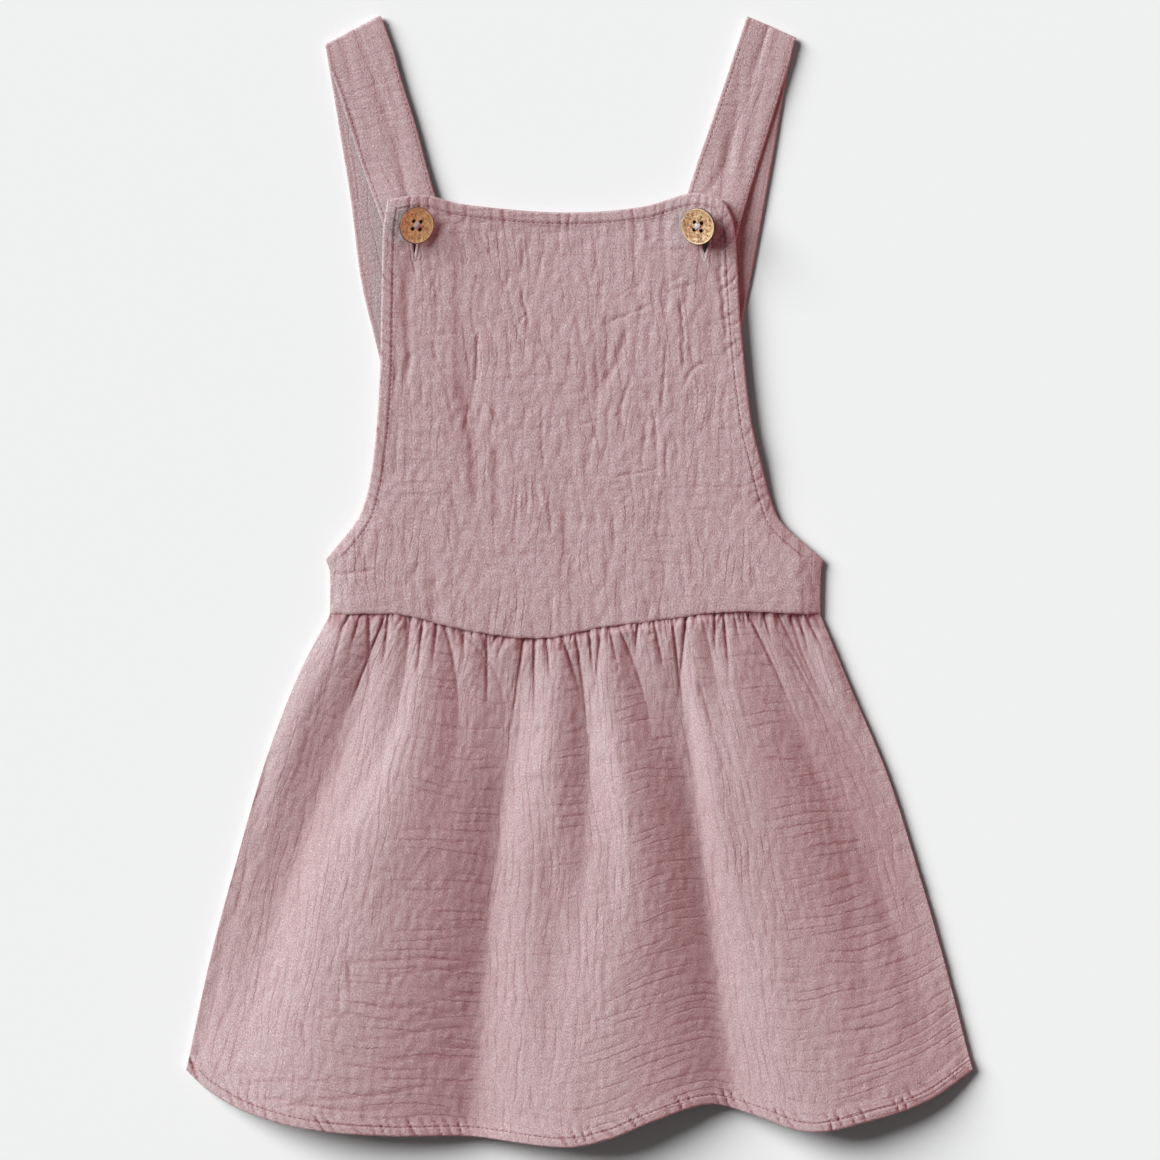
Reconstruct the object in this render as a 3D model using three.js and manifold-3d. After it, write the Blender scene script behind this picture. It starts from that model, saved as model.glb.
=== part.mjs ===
// A small child's pinafore dress in cotton double gauze, laid flat on its back with its front up.
// Millimetres, +Z up, +X to the viewer's right and +Y towards the shoulders. The origin is on the
// surface that the dress lies on, under the middle of its box.
//
// Every cloth piece is a thin wall with an upper and a lower skin. Outlines are smooth lines through
// a few measured points, and the height of the front is worked out from tables of folds.

import * as THREE from 'three'
import { mergeVertices } from 'three/addons/utils/BufferGeometryUtils.js'
import Module from 'manifold-3d'

const wasm = await Module()
wasm.setup()

// Thicknesses and levels

const CLOTH = 1.2          // one panel of double gauze
const STRAP = 1.6          // a strap is two layers, pressed and stitched
const SEAM_GAP = 0.3       // clearance between neighbouring pieces
const HEM_RISE = 0.5       // how far a turned hem stands up from the panel
const SEAM_TUCK = 0.7      // how far the cloth dips into the waist seam
const BACK_TOP = CLOTH     // the back panels lie on the surface
const FRONT_FLOOR = BACK_TOP + SEAM_GAP            // lowest level of a front panel's lower skin
const STRAP_LEVEL = STRAP + SEAM_GAP               // lower skin of a strap's front length
const OVER_STRAPS = STRAP_LEVEL + STRAP + 2 * SEAM_GAP // lower skin of the bib over both strap lengths

// Outlines: points from the shoulder end to the hem, or from left to right

const ARMHOLE_Y = 11       // height of the underarm corners
const WAIST_SIDE_Y = -18.5 // height of the waist seam at the sides
const HEM_SIDE_Y = -264.5  // height of the hem at the sides
const BACK_NECK_Y = 97     // straight upper edge of the back bodice

const BIB_LEFT = [
  { x: -103.4, y: 204.7 }, { x: -105.8, y: 189 }, { x: -106.9, y: 150 }, { x: -107.8, y: 108 },
  { x: -111.3, y: 65 }, { x: -115.6, y: 43 }, { x: -120.6, y: 31.5 }, { x: -136.9, y: ARMHOLE_Y },
]
const BIB_RIGHT = [
  { x: 78, y: 204.7 }, { x: 83.2, y: 191.7 }, { x: 87.2, y: 136 }, { x: 92.6, y: 86.4 },
  { x: 97.6, y: 65 }, { x: 103.4, y: 43.2 }, { x: 109.2, y: 31 }, { x: 131.5, y: ARMHOLE_Y },
]
const SIDE_LEFT = [
  { x: -136.9, y: ARMHOLE_Y }, { x: -134.8, y: 5 }, { x: -134.7, y: WAIST_SIDE_Y },
]
const SIDE_RIGHT = [
  { x: 131.5, y: ARMHOLE_Y }, { x: 130.4, y: 5 }, { x: 129.9, y: WAIST_SIDE_Y },
]
const NECKLINE = [
  { x: -103.4, y: 204.7 }, { x: -90, y: 207.4 }, { x: -80, y: 207.2 }, { x: -65, y: 203 },
  { x: -11, y: 198.4 }, { x: 32, y: 201 }, { x: 57, y: 208 }, { x: 66, y: 208.4 }, { x: 78, y: 204.7 },
]
const WAIST = [
  { x: -134.7, y: WAIST_SIDE_Y }, { x: -96.9, y: -18.8 }, { x: -73.7, y: -24.3 }, { x: -50, y: -29.2 },
  { x: -20.3, y: -31.6 }, { x: 12.7, y: -25.7 }, { x: 47.3, y: -21.3 }, { x: 79.7, y: -17.3 },
  { x: 129.9, y: WAIST_SIDE_Y },
]
const SKIRT_LEFT = [
  { x: -134.7, y: WAIST_SIDE_Y }, { x: -151.5, y: -51 }, { x: -169.3, y: -97 }, { x: -186.6, y: -156.6 },
  { x: -199.5, y: -205 }, { x: -212.3, y: HEM_SIDE_Y },
]
const SKIRT_RIGHT = [
  { x: 129.9, y: WAIST_SIDE_Y }, { x: 147, y: -59.4 }, { x: 166.3, y: -105 }, { x: 182.8, y: -156.6 },
  { x: 196.8, y: -205 }, { x: 212.3, y: HEM_SIDE_Y },
]
const FRONT_HEM = [
  { x: -212.3, y: HEM_SIDE_Y }, { x: -200.6, y: -275 }, { x: -179, y: -286.7 }, { x: -146.6, y: -295.4 },
  { x: -103.4, y: -299.2 }, { x: -60.2, y: -299.7 }, { x: -8, y: -305.1 }, { x: 15.4, y: -300.8 },
  { x: 40, y: -291 }, { x: 69.4, y: -282.4 }, { x: 91, y: -287.3 }, { x: 123.4, y: -297 },
  { x: 158, y: -290.6 }, { x: 188.2, y: -280.3 }, { x: 212.3, y: HEM_SIDE_Y },
]
const BACK_COLUMNS = 20    // the two back panels share these along their seam
const BACK_HEM = [
  { x: -212.3, y: HEM_SIDE_Y }, { x: -178, y: -281.5 }, { x: -134.7, y: -290.4 }, { x: -80.7, y: -293.7 },
  { x: -10.5, y: -290.5 }, { x: 65, y: -278.6 }, { x: 119, y: -284 }, { x: 167.7, y: -279.6 },
  { x: 212.3, y: HEM_SIDE_Y },
]

// Folds of the skirt's front. Each valley is a smooth line through three points. deep is the depth of
// the valley at those points, and left and right say how far its two sides reach, at its two ends.

const FOLDS = [
  { from: [-127, -22], via: [-141, -75], to: [-160, -140], deep: [0, 2, 1.5], left: [16, 15], right: [16, 8] },
  { from: [-106, -22], via: [-139, -110], to: [-197, -300], deep: [2.5, 15, 0], left: [24, 85], right: [26, 65] },
  { from: [-93, -22], via: [-95, -54], to: [-120, -117], deep: [1.5, 2.5, 1.5], left: [8, 15], right: [6, 11] },
  { from: [-72, -27], via: [-66, -60], to: [-85, -153], deep: [4, 3.5, 1], left: [13, 30], right: [27, 90] },
  { from: [-62, -30], via: [-46, -50], to: [-40, -70], deep: [1, 3, 1.5], left: [8, 14], right: [7, 27] },
  { from: [-30, -31], via: [-43, -130], to: [-57, -290], deep: [3, 12, 12], left: [40, 80], right: [18, 52] },
  { from: [-24, -110], via: [-13, -204], to: [-23, -299], deep: [1.5, 3, 0], left: [32, 15], right: [32, 28] },
  { from: [-2, -31], via: [5, -123], to: [-9, -230], deep: [2.5, 8.5, 0], left: [5, 70], right: [10, 28] },
  { from: [15, -100], via: [17, -141], to: [16, -222], deep: [1, 3, 0], left: [12, 12], right: [23, 18] },
  { from: [21, -25], via: [28, -42], to: [44, -130], deep: [0.5, 4, 1.5], left: [6, 33], right: [4, 90] },
  { from: [50, -22], via: [62, -121], to: [83, -292], deep: [1, 14, 12], left: [28, 68], right: [4, 46] },
  { from: [66, -20], via: [71, -41], to: [78, -89], deep: [1, 2, 0.5], left: [10, 11], right: [10, 6] },
  { from: [66, -60], via: [86, -136], to: [106, -242], deep: [1, 6, 0.5], left: [4, 44], right: [40, 90] },
  { from: [91, -19], via: [133, -118], to: [158, -300], deep: [5, 13, 2], left: [30, 90], right: [28, 90] },
  { from: [114, -20], via: [118, -34], to: [137, -72], deep: [6, 8, 2], left: [17, 8], right: [19, 10] },
  { from: [114, -40], via: [148, -109], to: [183, -233], deep: [1, 14, 2], left: [19, 23], right: [14, 44] },
]

// Short gathers between those folds, from left to right along the waist seam. lean is how far a
// gather drifts sideways for each millimetre that it runs down, and reach is how far its sides reach.

const GATHERS = [
  { at: -124, deep: 2, long: 14, lean: -0.5, reach: 6 },
  { at: -118, deep: 1.5, long: 22, lean: -0.3, reach: 8 },
  { at: -113.5, deep: 1.5, long: 45, lean: 0, reach: 7 },
  { at: -103, deep: 1.5, long: 36, lean: -0.1, reach: 4 },
  { at: -91, deep: 1.5, long: 27, lean: -0.1, reach: 7 },
  { at: -84.5, deep: 2.2, long: 38, lean: -0.1, reach: 5.5 },
  { at: -77, deep: 1.2, long: 30, lean: -0.1, reach: 7 },
  { at: -62.5, deep: 1.5, long: 17, lean: 0, reach: 6 },
  { at: -50, deep: 2, long: 45, lean: 0, reach: 6 },
  { at: -45, deep: 1.5, long: 8, lean: -0.3, reach: 4 },
  { at: -40.5, deep: 1.2, long: 14, lean: -0.3, reach: 3.5 },
  { at: -30.5, deep: 1.2, long: 10, lean: 0, reach: 3.5 },
  { at: -24.5, deep: 1.8, long: 48, lean: 0, reach: 6 },
  { at: -18, deep: 2, long: 26, lean: 0.1, reach: 7 },
  { at: -9.5, deep: 2.5, long: 37, lean: 0.3, reach: 6 },
  { at: 5, deep: 2.2, long: 30, lean: 0.1, reach: 6.5 },
  { at: 11.5, deep: 1.5, long: 38, lean: -0.1, reach: 5 },
  { at: 16, deep: 1.5, long: 26, lean: 0.2, reach: 6 },
  { at: 31.5, deep: 2, long: 18, lean: -0.1, reach: 8 },
  { at: 40, deep: 1.5, long: 37, lean: 0.2, reach: 3.5 },
  { at: 46, deep: 1, long: 10, lean: 0.1, reach: 4 },
  { at: 57.5, deep: 1.8, long: 55, lean: -0.1, reach: 6 },
  { at: 62, deep: 1, long: 8, lean: 0, reach: 4.5 },
  { at: 73, deep: 1.8, long: 24, lean: 0, reach: 8 },
  { at: 77.5, deep: 2, long: 35, lean: 0.1, reach: 5.5 },
  { at: 83, deep: 1.2, long: 20, lean: 0.2, reach: 5.5 },
  { at: 88, deep: 1.2, long: 13, lean: 0.2, reach: 4 },
  { at: 99, deep: 2, long: 17, lean: 0.3, reach: 7 },
  { at: 106.5, deep: 3.5, long: 46, lean: 0.5, reach: 4.5 },
  { at: 117.5, deep: 2.5, long: 25, lean: 0.3, reach: 4 },
  { at: 121.5, deep: 2.5, long: 22, lean: 0.5, reach: 4.5 },
  { at: 126.5, deep: 1.6, long: 12, lean: 0.4, reach: 4.5 },
]
const GATHER_BULGE = 2.1   // how far the gathered cloth stands up below the seam
const GATHER_SPREAD = 0.03 // share by which a gather's reach grows for each millimetre down
const FOLD_EASE = { above: 8, below: 45 } // lengths over which a fold fades past its two ends
const FOLD_SOFT = 6        // rounding of the bottom of a fold, of a gather and of a bib crease
const GATHER_SOFT = 0.5
const CREASE_SOFT = 1

// Height of the skirt's front

const WAIST_HEIGHT = 6.3   // upper skin at the waist seam, over the seam allowances inside
const SKIRT_HEIGHT = 19.5  // upper skin where the skirt is fullest
const FULL_AFTER = 128     // distance below the seam where it gets there
const SIDE_ROLL = { waist: 14, hem: 79 } // width of the rise from a side edge
const REST = { soft: 2, edge: 10 }       // how softly a deep fold comes to rest, away from the side edges

// Soft creases of the front bodice, given as the folds are

const BIB_CREASES = [
  { from: [-92, 182], via: [-92.5, 155], to: [-90, 112], deep: [0.9, 1.3, 0.1], left: [12, 10], right: [8, 8] },
  { from: [-67, 168], via: [-58, 95], to: [-53, 20], deep: [0.3, 1.1, 0.2], left: [24, 24], right: [16, 16] },
  { from: [-84, 30], via: [-80, 8], to: [-78, -16], deep: [0.1, 0.6, 0.5], left: [10, 10], right: [8, 8] },
  { from: [22, 150], via: [12, 112], to: [5, 75], deep: [0.2, 0.9, 0.1], left: [16, 14], right: [12, 10] },
  { from: [-12, 75], via: [-6, 20], to: [2, -22], deep: [0.1, 0.8, 0.3], left: [14, 14], right: [10, 10] },
  { from: [64, 180], via: [66, 150], to: [72, 90], deep: [0.8, 1, 0.1], left: [12, 12], right: [8, 8] },
  { from: [48, 60], via: [46, 15], to: [45, -18], deep: [0.1, 0.7, 0.4], left: [14, 12], right: [10, 10] },
]
const NECK_HEM = 9.7       // depth of the turned hem along the neckline
const BIB_SAG = 1.9         // how far the bib hangs down between the straps
const BODICE_ROLL = 16     // width of the rise from a side edge
const ARMHOLE_HEM = 7.6    // and along the armholes
const SKIRT_HEM = 6.5      // and along the bottom of the skirt

// Straps. Each row is a station down one length: the strap's outer and inner edge.

const LEFT_STRAP = {
  name: 'strap_left',
  side: -1,
  fold: { outer: [-137, 287.4], inner: [-106.8, 303.4] },
  front: [
    { outer: [-134.4, 275], inner: [-100.5, 286] }, { outer: [-128.8, 259.5], inner: [-95.5, 268] },
    { outer: [-123, 240.5], inner: [-88.6, 246] }, { outer: [-116, 219], inner: [-82.5, 223.5] },
    { outer: [-107.6, 196], inner: [-75, 197] }, { outer: [-98.5, 166], inner: [-66.5, 166] },
  ],
  back: [
    { outer: [-134.1, 270], inner: [-103, 277] }, { outer: [-128.8, 238], inner: [-98, 243] },
    { outer: [-123.5, 205], inner: [-92.8, 209] }, { outer: [-118, 162], inner: [-87.2, 168] },
    { outer: [-109.5, 126], inner: [-79.5, 133] }, { outer: [-104.3, 104], inner: [-74, 110] },
    { outer: [-102.6, 97], inner: [-72.2, 98] }, { outer: [-100.2, 86], inner: [-70, 86] },
  ],
}
const RIGHT_STRAP = {
  name: 'strap_right',
  side: 1,
  fold: { outer: [116.4, 291.2], inner: [89.9, 302.9] },
  front: [
    { outer: [113.9, 281], inner: [84.8, 288] }, { outer: [109.3, 266], inner: [78.2, 268] },
    { outer: [103, 245.5], inner: [70.5, 245] }, { outer: [96, 223], inner: [63.5, 225] },
    { outer: [88.4, 198], inner: [55.6, 199] }, { outer: [80, 166], inner: [48, 166] },
  ],
  back: [
    { outer: [111.4, 270], inner: [81.5, 277] }, { outer: [105, 232], inner: [74.6, 237] },
    { outer: [100.2, 205], inner: [69.4, 208] }, { outer: [93.2, 167], inner: [62.8, 171] },
    { outer: [87.6, 137], inner: [57.4, 140] }, { outer: [85.6, 110], inner: [55.4, 112] },
    { outer: [85.5, 97], inner: [54.8, 98] }, { outer: [85, 86], inner: [54.4, 86] },
  ],
}
const STRAP_END_RISE = FRONT_FLOOR // a strap's sewn end lies on the inside of the back bodice
const STRAP_STITCH = 2.4           // distance of the edge stitching from the strap's edge
const STITCHED_SHARE = 0.75        // thickness of the strap at that stitching, as a share

// Buttons and their buttonholes

const BUTTON = { radius: 10.15, thick: 2.8, bevel: 1.6, rim: 1.5, dish: 0.5, hole: 1.1, pitch: 4.1, sides: 32 }
const BUTTONS = [
  { name: 'button_left', x: -88.5, y: 191.3, lean: 27, towards: -24, turn: -6 },
  { name: 'button_right', x: 64.7, y: 190.7, lean: 28, towards: 202, turn: -6 },
]
const BUTTONHOLES = [
  { x: -88.7, high: 195.5, low: 172.5, wide: 1.6 },
  { x: 66.6, high: 195.5, low: 172.3, wide: 2 },
]
const BUTTON_SWELLS = [
  { x: -98, y: 197, high: 4.6, reach: 13 },
  { x: 75, y: 196, high: 4.6, reach: 13 },
]
const STRAP_SHARE_OF_SWELL = 0.65  // the strap below follows the bib part of the way

// Colours

const gauze = new THREE.MeshStandardMaterial({ name: 'gauze', color: 0xc4a3a6, roughness: 0.95, metalness: 0 })
const coconut = new THREE.MeshStandardMaterial({ name: 'coconut', color: 0xb88952, roughness: 0.6, metalness: 0 })

// Small helpers

const clamp = (value, low, high) => Math.min(high, Math.max(low, value))
const mix = (a, b, t) => a + (b - a) * t
const smooth = (t) => { const s = clamp(t, 0, 1); return s * s * (3 - 2 * s) }

// A smooth line through points, read as one coordinate against another (cubic pieces).
function lineThrough(points, key, value) {
  const rising = points[0][key] < points[points.length - 1][key]
  const p = rising ? points : [...points].reverse()
  const slope = p.map((_, i) => {
    const a = p[Math.max(i - 1, 0)]
    const b = p[Math.min(i + 1, p.length - 1)]
    return (b[value] - a[value]) / (b[key] - a[key])
  })
  return (at) => {
    let i = 0
    while (i < p.length - 2 && at > p[i + 1][key]) i++
    const span = p[i + 1][key] - p[i][key]
    const t = clamp((at - p[i][key]) / span, 0, 1)
    const ease = t * t * (3 - 2 * t)
    return mix(p[i][value], p[i + 1][value], ease) +
      span * (slope[i] * t * (1 - t) * (1 - t) - slope[i + 1] * t * t * (1 - t))
  }
}

const bibLeft = lineThrough(BIB_LEFT, 'y', 'x')
const bibRight = lineThrough(BIB_RIGHT, 'y', 'x')
const sideLeft = lineThrough(SIDE_LEFT, 'y', 'x')
const sideRight = lineThrough(SIDE_RIGHT, 'y', 'x')
const neckline = lineThrough(NECKLINE, 'x', 'y')
const waist = lineThrough(WAIST, 'x', 'y')
const skirtLeft = lineThrough(SKIRT_LEFT, 'y', 'x')
const skirtRight = lineThrough(SKIRT_RIGHT, 'y', 'x')
const frontHem = lineThrough(FRONT_HEM, 'x', 'y')
const backHem = lineThrough(BACK_HEM, 'x', 'y')
const bodiceLeft = (y) => (y > ARMHOLE_Y ? bibLeft(y) : sideLeft(y))
const bodiceRight = (y) => (y > ARMHOLE_Y ? bibRight(y) : sideRight(y))

// Value at t of the parabola through three values given at 0, middle and 1.
function parabola([a, b, c], middle, t) {
  return a * (t - middle) * (t - 1) / middle +
    b * t * (t - 1) / (middle * (middle - 1)) +
    c * t * (t - middle) / (1 - middle)
}

// The shape across a fold: 1 at its line, falling in a curve to 0 at its reach.
function valley(away, reach, soft) {
  return clamp(1 - (Math.hypot(away, soft) - soft) / reach, 0, 1) ** 2
}

// Depth at a point of one fold: deepest on the fold's line, easing away to both sides and past its ends.
function foldDepth(fold, x, y, soft = FOLD_SOFT) {
  const length = fold.from[1] - fold.to[1]
  const t = clamp((fold.from[1] - y) / length, -0.1, 1.25)
  const middle = (fold.from[1] - fold.via[1]) / length
  const line = parabola([fold.from[0], fold.via[0], fold.to[0]], middle, t)
  const deep = t < middle
    ? mix(fold.deep[0], fold.deep[1], smooth(t / middle))
    : mix(fold.deep[1], fold.deep[2], smooth((t - middle) / (1 - middle)))
  const side = x < line ? fold.left : fold.right
  const along = clamp(t, 0, 1)
  const reach = mix(side[0], side[1], along)
  const fade = smooth(1 + (fold.from[1] - y) / FOLD_EASE.above) *
    smooth(1 + (y - fold.to[1]) / FOLD_EASE.below)
  return deep * fade * valley(x - line, reach, soft * mix(0.3, 1, along))
}

function gatherDepth(gather, x, drop) {
  const away = x - gather.at - gather.lean * drop
  const reach = gather.reach * (1 + GATHER_SPREAD * drop)
  return gather.deep * smooth(1 - drop / gather.long) * valley(away, reach, GATHER_SOFT)
}

// Upper skin of the skirt's front.
function skirtHeight(x, y) {
  const drop = Math.max(waist(clamp(x, -134.7, 129.9)) - y, 0)
  const down = clamp((WAIST_SIDE_Y - y) / (WAIST_SIDE_Y - HEM_SIDE_Y), 0, 1)
  const roll = mix(SIDE_ROLL.waist, SIDE_ROLL.hem, down)
  const edgeY = clamp(y, HEM_SIDE_Y, WAIST_SIDE_Y)
  const inside = Math.max(Math.min(x - skirtLeft(edgeY), skirtRight(edgeY) - x), 0)
  const rise = Math.sin(Math.PI / 2 * clamp(inside / roll, 0, 1))
  const full = mix(WAIST_HEIGHT, SKIRT_HEIGHT, smooth(drop / FULL_AFTER)) +
    GATHER_BULGE * smooth(drop / 4) * smooth(1 - drop / 60)
  const lowest = FRONT_FLOOR + CLOTH
  const valleys = FOLDS.reduce((sum, fold) => sum + foldDepth(fold, x, y), 0)
  const gathers = GATHERS.reduce((sum, gather) => sum + gatherDepth(gather, x, drop), 0)
  const above = (full - lowest) * rise - valleys - gathers
  return lowest + (above + Math.hypot(above, REST.soft * clamp(inside / REST.edge, 0, 1))) / 2
}

// How far the cloth bulges up where a button pulls at it.
function buttonSwell(x, y) {
  return BUTTON_SWELLS.reduce((sum, s) =>
    sum + s.high * Math.exp(-((x - s.x) ** 2 + (y - s.y) ** 2) / (2 * s.reach ** 2)), 0)
}

// Upper skin of the front bodice. It lies over the straps at its upper corners and sides, hangs
// lower between them, and rolls down to the back at its side seams.
function bodiceHeight(x, y) {
  const lowest = FRONT_FLOOR + CLOTH
  const overStraps = OVER_STRAPS + CLOTH
  const onStrap = smooth((y - 72) / 10) * Math.max(smooth((-58 - x) / 12), smooth((x - 38) / 12))
  const sag = BIB_SAG * Math.exp(-(((x + 12) / 45) ** 2)) * smooth((y - 110) / 80)
  const nearWaist = smooth(1 - (y - waist(clamp(x, -134.7, 129.9))) / 60)
  const level = mix(overStraps, WAIST_HEIGHT, nearWaist) - sag
  const edge = mix(lowest, overStraps, smooth((y - 35) / 42))
  const inside = Math.max(Math.min(x - bodiceLeft(y), bodiceRight(y) - x), 0)
  const rise = Math.sin(Math.PI / 2 * clamp(inside / BODICE_ROLL, 0, 1))
  const creases = BIB_CREASES.reduce((sum, crease) => sum + foldDepth(crease, x, y, CREASE_SOFT), 0)
  const swell = buttonSwell(x, y)
  return Math.max(mix(edge, level, rise) + swell - creases, mix(lowest, overStraps + swell, onStrap))
}

// How much thicker a sloping wall is when it is measured upright.
function upright(height, x, y) {
  const step = 0.5
  const dx = (height(x + step, y) - height(x - step, y)) / (2 * step)
  const dy = (height(x, y + step) - height(x, y - step)) / (2 * step)
  return Math.min(Math.sqrt(1 + dx * dx + dy * dy), 1.8)
}

// A closed wall from rows of stations. Each station has u, its place along the row, and the points
// of the upper and the lower skin. Neighbouring rows may have different numbers of stations.
function wall(rows) {
  const points = []
  const triangles = []
  const first = []
  for (const row of rows) {
    first.push(points.length / 6)
    for (const station of row) points.push(...station.upper, ...station.lower)
  }
  const upper = (r, c) => 2 * (first[r] + c)
  const lower = (r, c) => 2 * (first[r] + c) + 1
  const quad = (a, b, c, d) => triangles.push(a, b, c, a, c, d)
  for (let r = 0; r < rows.length - 1; r++) {
    const here = rows[r]
    const next = rows[r + 1]
    let i = 0
    let j = 0
    while (i < here.length - 1 || j < next.length - 1) {
      const moveHere = j === next.length - 1 || (i < here.length - 1 && here[i + 1].u <= next[j + 1].u)
      if (moveHere) {
        triangles.push(upper(r, i), upper(r + 1, j), upper(r, i + 1))
        triangles.push(lower(r, i), lower(r, i + 1), lower(r + 1, j))
        i++
      } else {
        triangles.push(upper(r, i), upper(r + 1, j), upper(r + 1, j + 1))
        triangles.push(lower(r, i), lower(r + 1, j + 1), lower(r + 1, j))
        j++
      }
    }
    quad(upper(r, 0), lower(r, 0), lower(r + 1, 0), upper(r + 1, 0))
    const e = here.length - 1
    const f = next.length - 1
    quad(upper(r, e), upper(r + 1, f), lower(r + 1, f), lower(r, e))
  }
  const last = rows.length - 1
  for (let c = 0; c < rows[0].length - 1; c++) {
    quad(upper(0, c), upper(0, c + 1), lower(0, c + 1), lower(0, c))
  }
  for (let c = 0; c < rows[last].length - 1; c++) {
    quad(upper(last, c), lower(last, c), lower(last, c + 1), upper(last, c + 1))
  }
  const geometry = new THREE.BufferGeometry()
  geometry.setAttribute('position', new THREE.Float32BufferAttribute(points, 3))
  geometry.setIndex(triangles)
  return geometry
}

// A point of a four-sided patch, blended from its four edges. u runs from left to right, v from the
// upper edge to the lower one.
function patchPoint(edges, u, v) {
  const topLeft = edges.left(0)
  const topRight = edges.right(0)
  const lowLeft = edges.left(1)
  const lowRight = edges.right(1)
  return [0, 1].map((axis) =>
    mix(edges.upper(u)[axis], edges.lower(u)[axis], v) +
    mix(edges.left(v)[axis], edges.right(v)[axis], u) -
    mix(mix(topLeft[axis], topRight[axis], u), mix(lowLeft[axis], lowRight[axis], u), v))
}

function evenly(count, low = 0, high = 1) {
  return Array.from({ length: count + 1 }, (_, i) => mix(low, high, i / count))
}

// Edges of the panels, for patchPoint

const across = (line, x0, x1) => (u) => [mix(x0, x1, u), line(mix(x0, x1, u))]
const downEdge = (line, y0, y1, shift = 0) => (v) => [line(mix(y0, y1, v)) + shift, mix(y0, y1, v)]

// Skirt. The front carries the gathers, so its upper rows have stations in every gather.

const SKIRT_LEFT_X = SKIRT_LEFT[0].x
const SKIRT_RIGHT_X = SKIRT_RIGHT[0].x
const SKIRT_LENGTH = WAIST_SIDE_Y - HEM_SIDE_Y

const frontSkirtEdges = {
  upper: (u) => {
    const x = mix(SKIRT_LEFT_X, SKIRT_RIGHT_X, u)
    return [x, waist(x) - SEAM_GAP]
  },
  lower: across(frontHem, FRONT_HEM[0].x, FRONT_HEM[FRONT_HEM.length - 1].x),
  left: downEdge(skirtLeft, WAIST_SIDE_Y - SEAM_GAP, HEM_SIDE_Y),
  right: downEdge(skirtRight, WAIST_SIDE_Y - SEAM_GAP, HEM_SIDE_Y),
}

function gatherStations(perGather) {
  const troughs = [...FOLDS.map((fold) => fold.from[0]), ...GATHERS.map((gather) => gather.at)]
    .filter((x) => x > SKIRT_LEFT_X && x < SKIRT_RIGHT_X)
    .sort((a, b) => a - b)
    .map((x) => (x - SKIRT_LEFT_X) / (SKIRT_RIGHT_X - SKIRT_LEFT_X))
  const marks = [0, ...troughs, 1]
  return marks.flatMap((mark, i) =>
    i === marks.length - 1 ? [1] : evenly(perGather, mark, marks[i + 1]).slice(0, perGather))
}

function skirtFrontRows() {
  const fine = gatherStations(4)
  const middling = gatherStations(2)
  const plain = evenly(64)
  const hemStart = 1 - SKIRT_HEM / SKIRT_LENGTH
  const stations = [
    ...[0, 1.2, 5, 11].map((drop) => ({ v: drop / SKIRT_LENGTH, us: fine })),
    ...[19, 29, 41].map((drop) => ({ v: drop / SKIRT_LENGTH, us: middling })),
    ...evenly(9, 56 / SKIRT_LENGTH, hemStart - 0.004).map((v) => ({ v, us: plain })),
    { v: hemStart, us: plain }, { v: 1, us: plain },
  ]
  return stations.map(({ v, us }) => us.map((u) => {
    const [x, y] = patchPoint(frontSkirtEdges, u, v)
    const hem = v >= hemStart ? HEM_RISE : 0
    const height = skirtHeight(x, y)
    const tuck = v === 0 ? SEAM_TUCK : 0
    const top = Math.max(height - tuck, FRONT_FLOOR + CLOTH)
    const low = Math.max(top - CLOTH * upright(skirtHeight, x, y), FRONT_FLOOR)
    return { u, upper: [x, y, top + hem], lower: [x, y, low] }
  }))
}

const backSkirtEdges = {
  upper: (u) => {
    const x = mix(SKIRT_LEFT_X, SKIRT_RIGHT_X, u)
    return [x, waist(x) - SEAM_GAP]
  },
  lower: across(backHem, BACK_HEM[0].x, BACK_HEM[BACK_HEM.length - 1].x),
  left: frontSkirtEdges.left,
  right: frontSkirtEdges.right,
}

function skirtBackRows() {
  const hemStart = 1 - SKIRT_HEM / SKIRT_LENGTH
  const vs = [...evenly(5, 0, hemStart - 0.004), 1]
  return vs.map((v) => evenly(BACK_COLUMNS).map((u) => {
    const [x, y] = patchPoint(backSkirtEdges, u, v)
    return { u, upper: [x, y, BACK_TOP], lower: [x, y, 0] }
  }))
}

// Bodice. Its rows and columns crowd together at the turned hems, which stand up a little.

function bodiceFrontRows() {
  const topY = NECKLINE[0].y
  const span = topY - WAIST_SIDE_Y
  const edges = {
    upper: across(neckline, BIB_LEFT[0].x, BIB_RIGHT[0].x),
    lower: across(waist, SIDE_LEFT[2].x, SIDE_RIGHT[2].x),
    left: downEdge(bodiceLeft, topY, WAIST_SIDE_Y),
    right: downEdge(bodiceRight, topY, WAIST_SIDE_Y),
  }
  const underarm = (topY - ARMHOLE_Y) / span
  const neckRows = [0, NECK_HEM, NECK_HEM + 1.2].map((drop) => drop / span)
  const vs = [...neckRows, ...evenly(14, 0.09, underarm), ...evenly(3, underarm, 1).slice(1)]
  return vs.map((v) => {
    const width = edges.right(v)[0] - edges.left(v)[0]
    const hem = ARMHOLE_HEM / width
    const step = 1.2 / width
    const us = [0, hem, ...evenly(22, hem + step, 1 - hem - step), 1 - hem, 1]
    return us.map((u, i) => {
      const [x, y] = patchPoint(edges, u, v)
      const onArmhole = v < underarm + 0.001 && (i <= 1 || i >= us.length - 2)
      const onNeck = v * span <= NECK_HEM + 0.01
      const rise = onArmhole || onNeck ? HEM_RISE : 0
      const tuck = v === 1 ? SEAM_TUCK : 0
      const top = Math.max(bodiceHeight(x, y) - tuck, FRONT_FLOOR + CLOTH)
      const low = Math.max(top - CLOTH * upright(bodiceHeight, x, y), FRONT_FLOOR)
      return { u, upper: [x, y, top + rise], lower: [x, y, low] }
    })
  })
}

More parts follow.
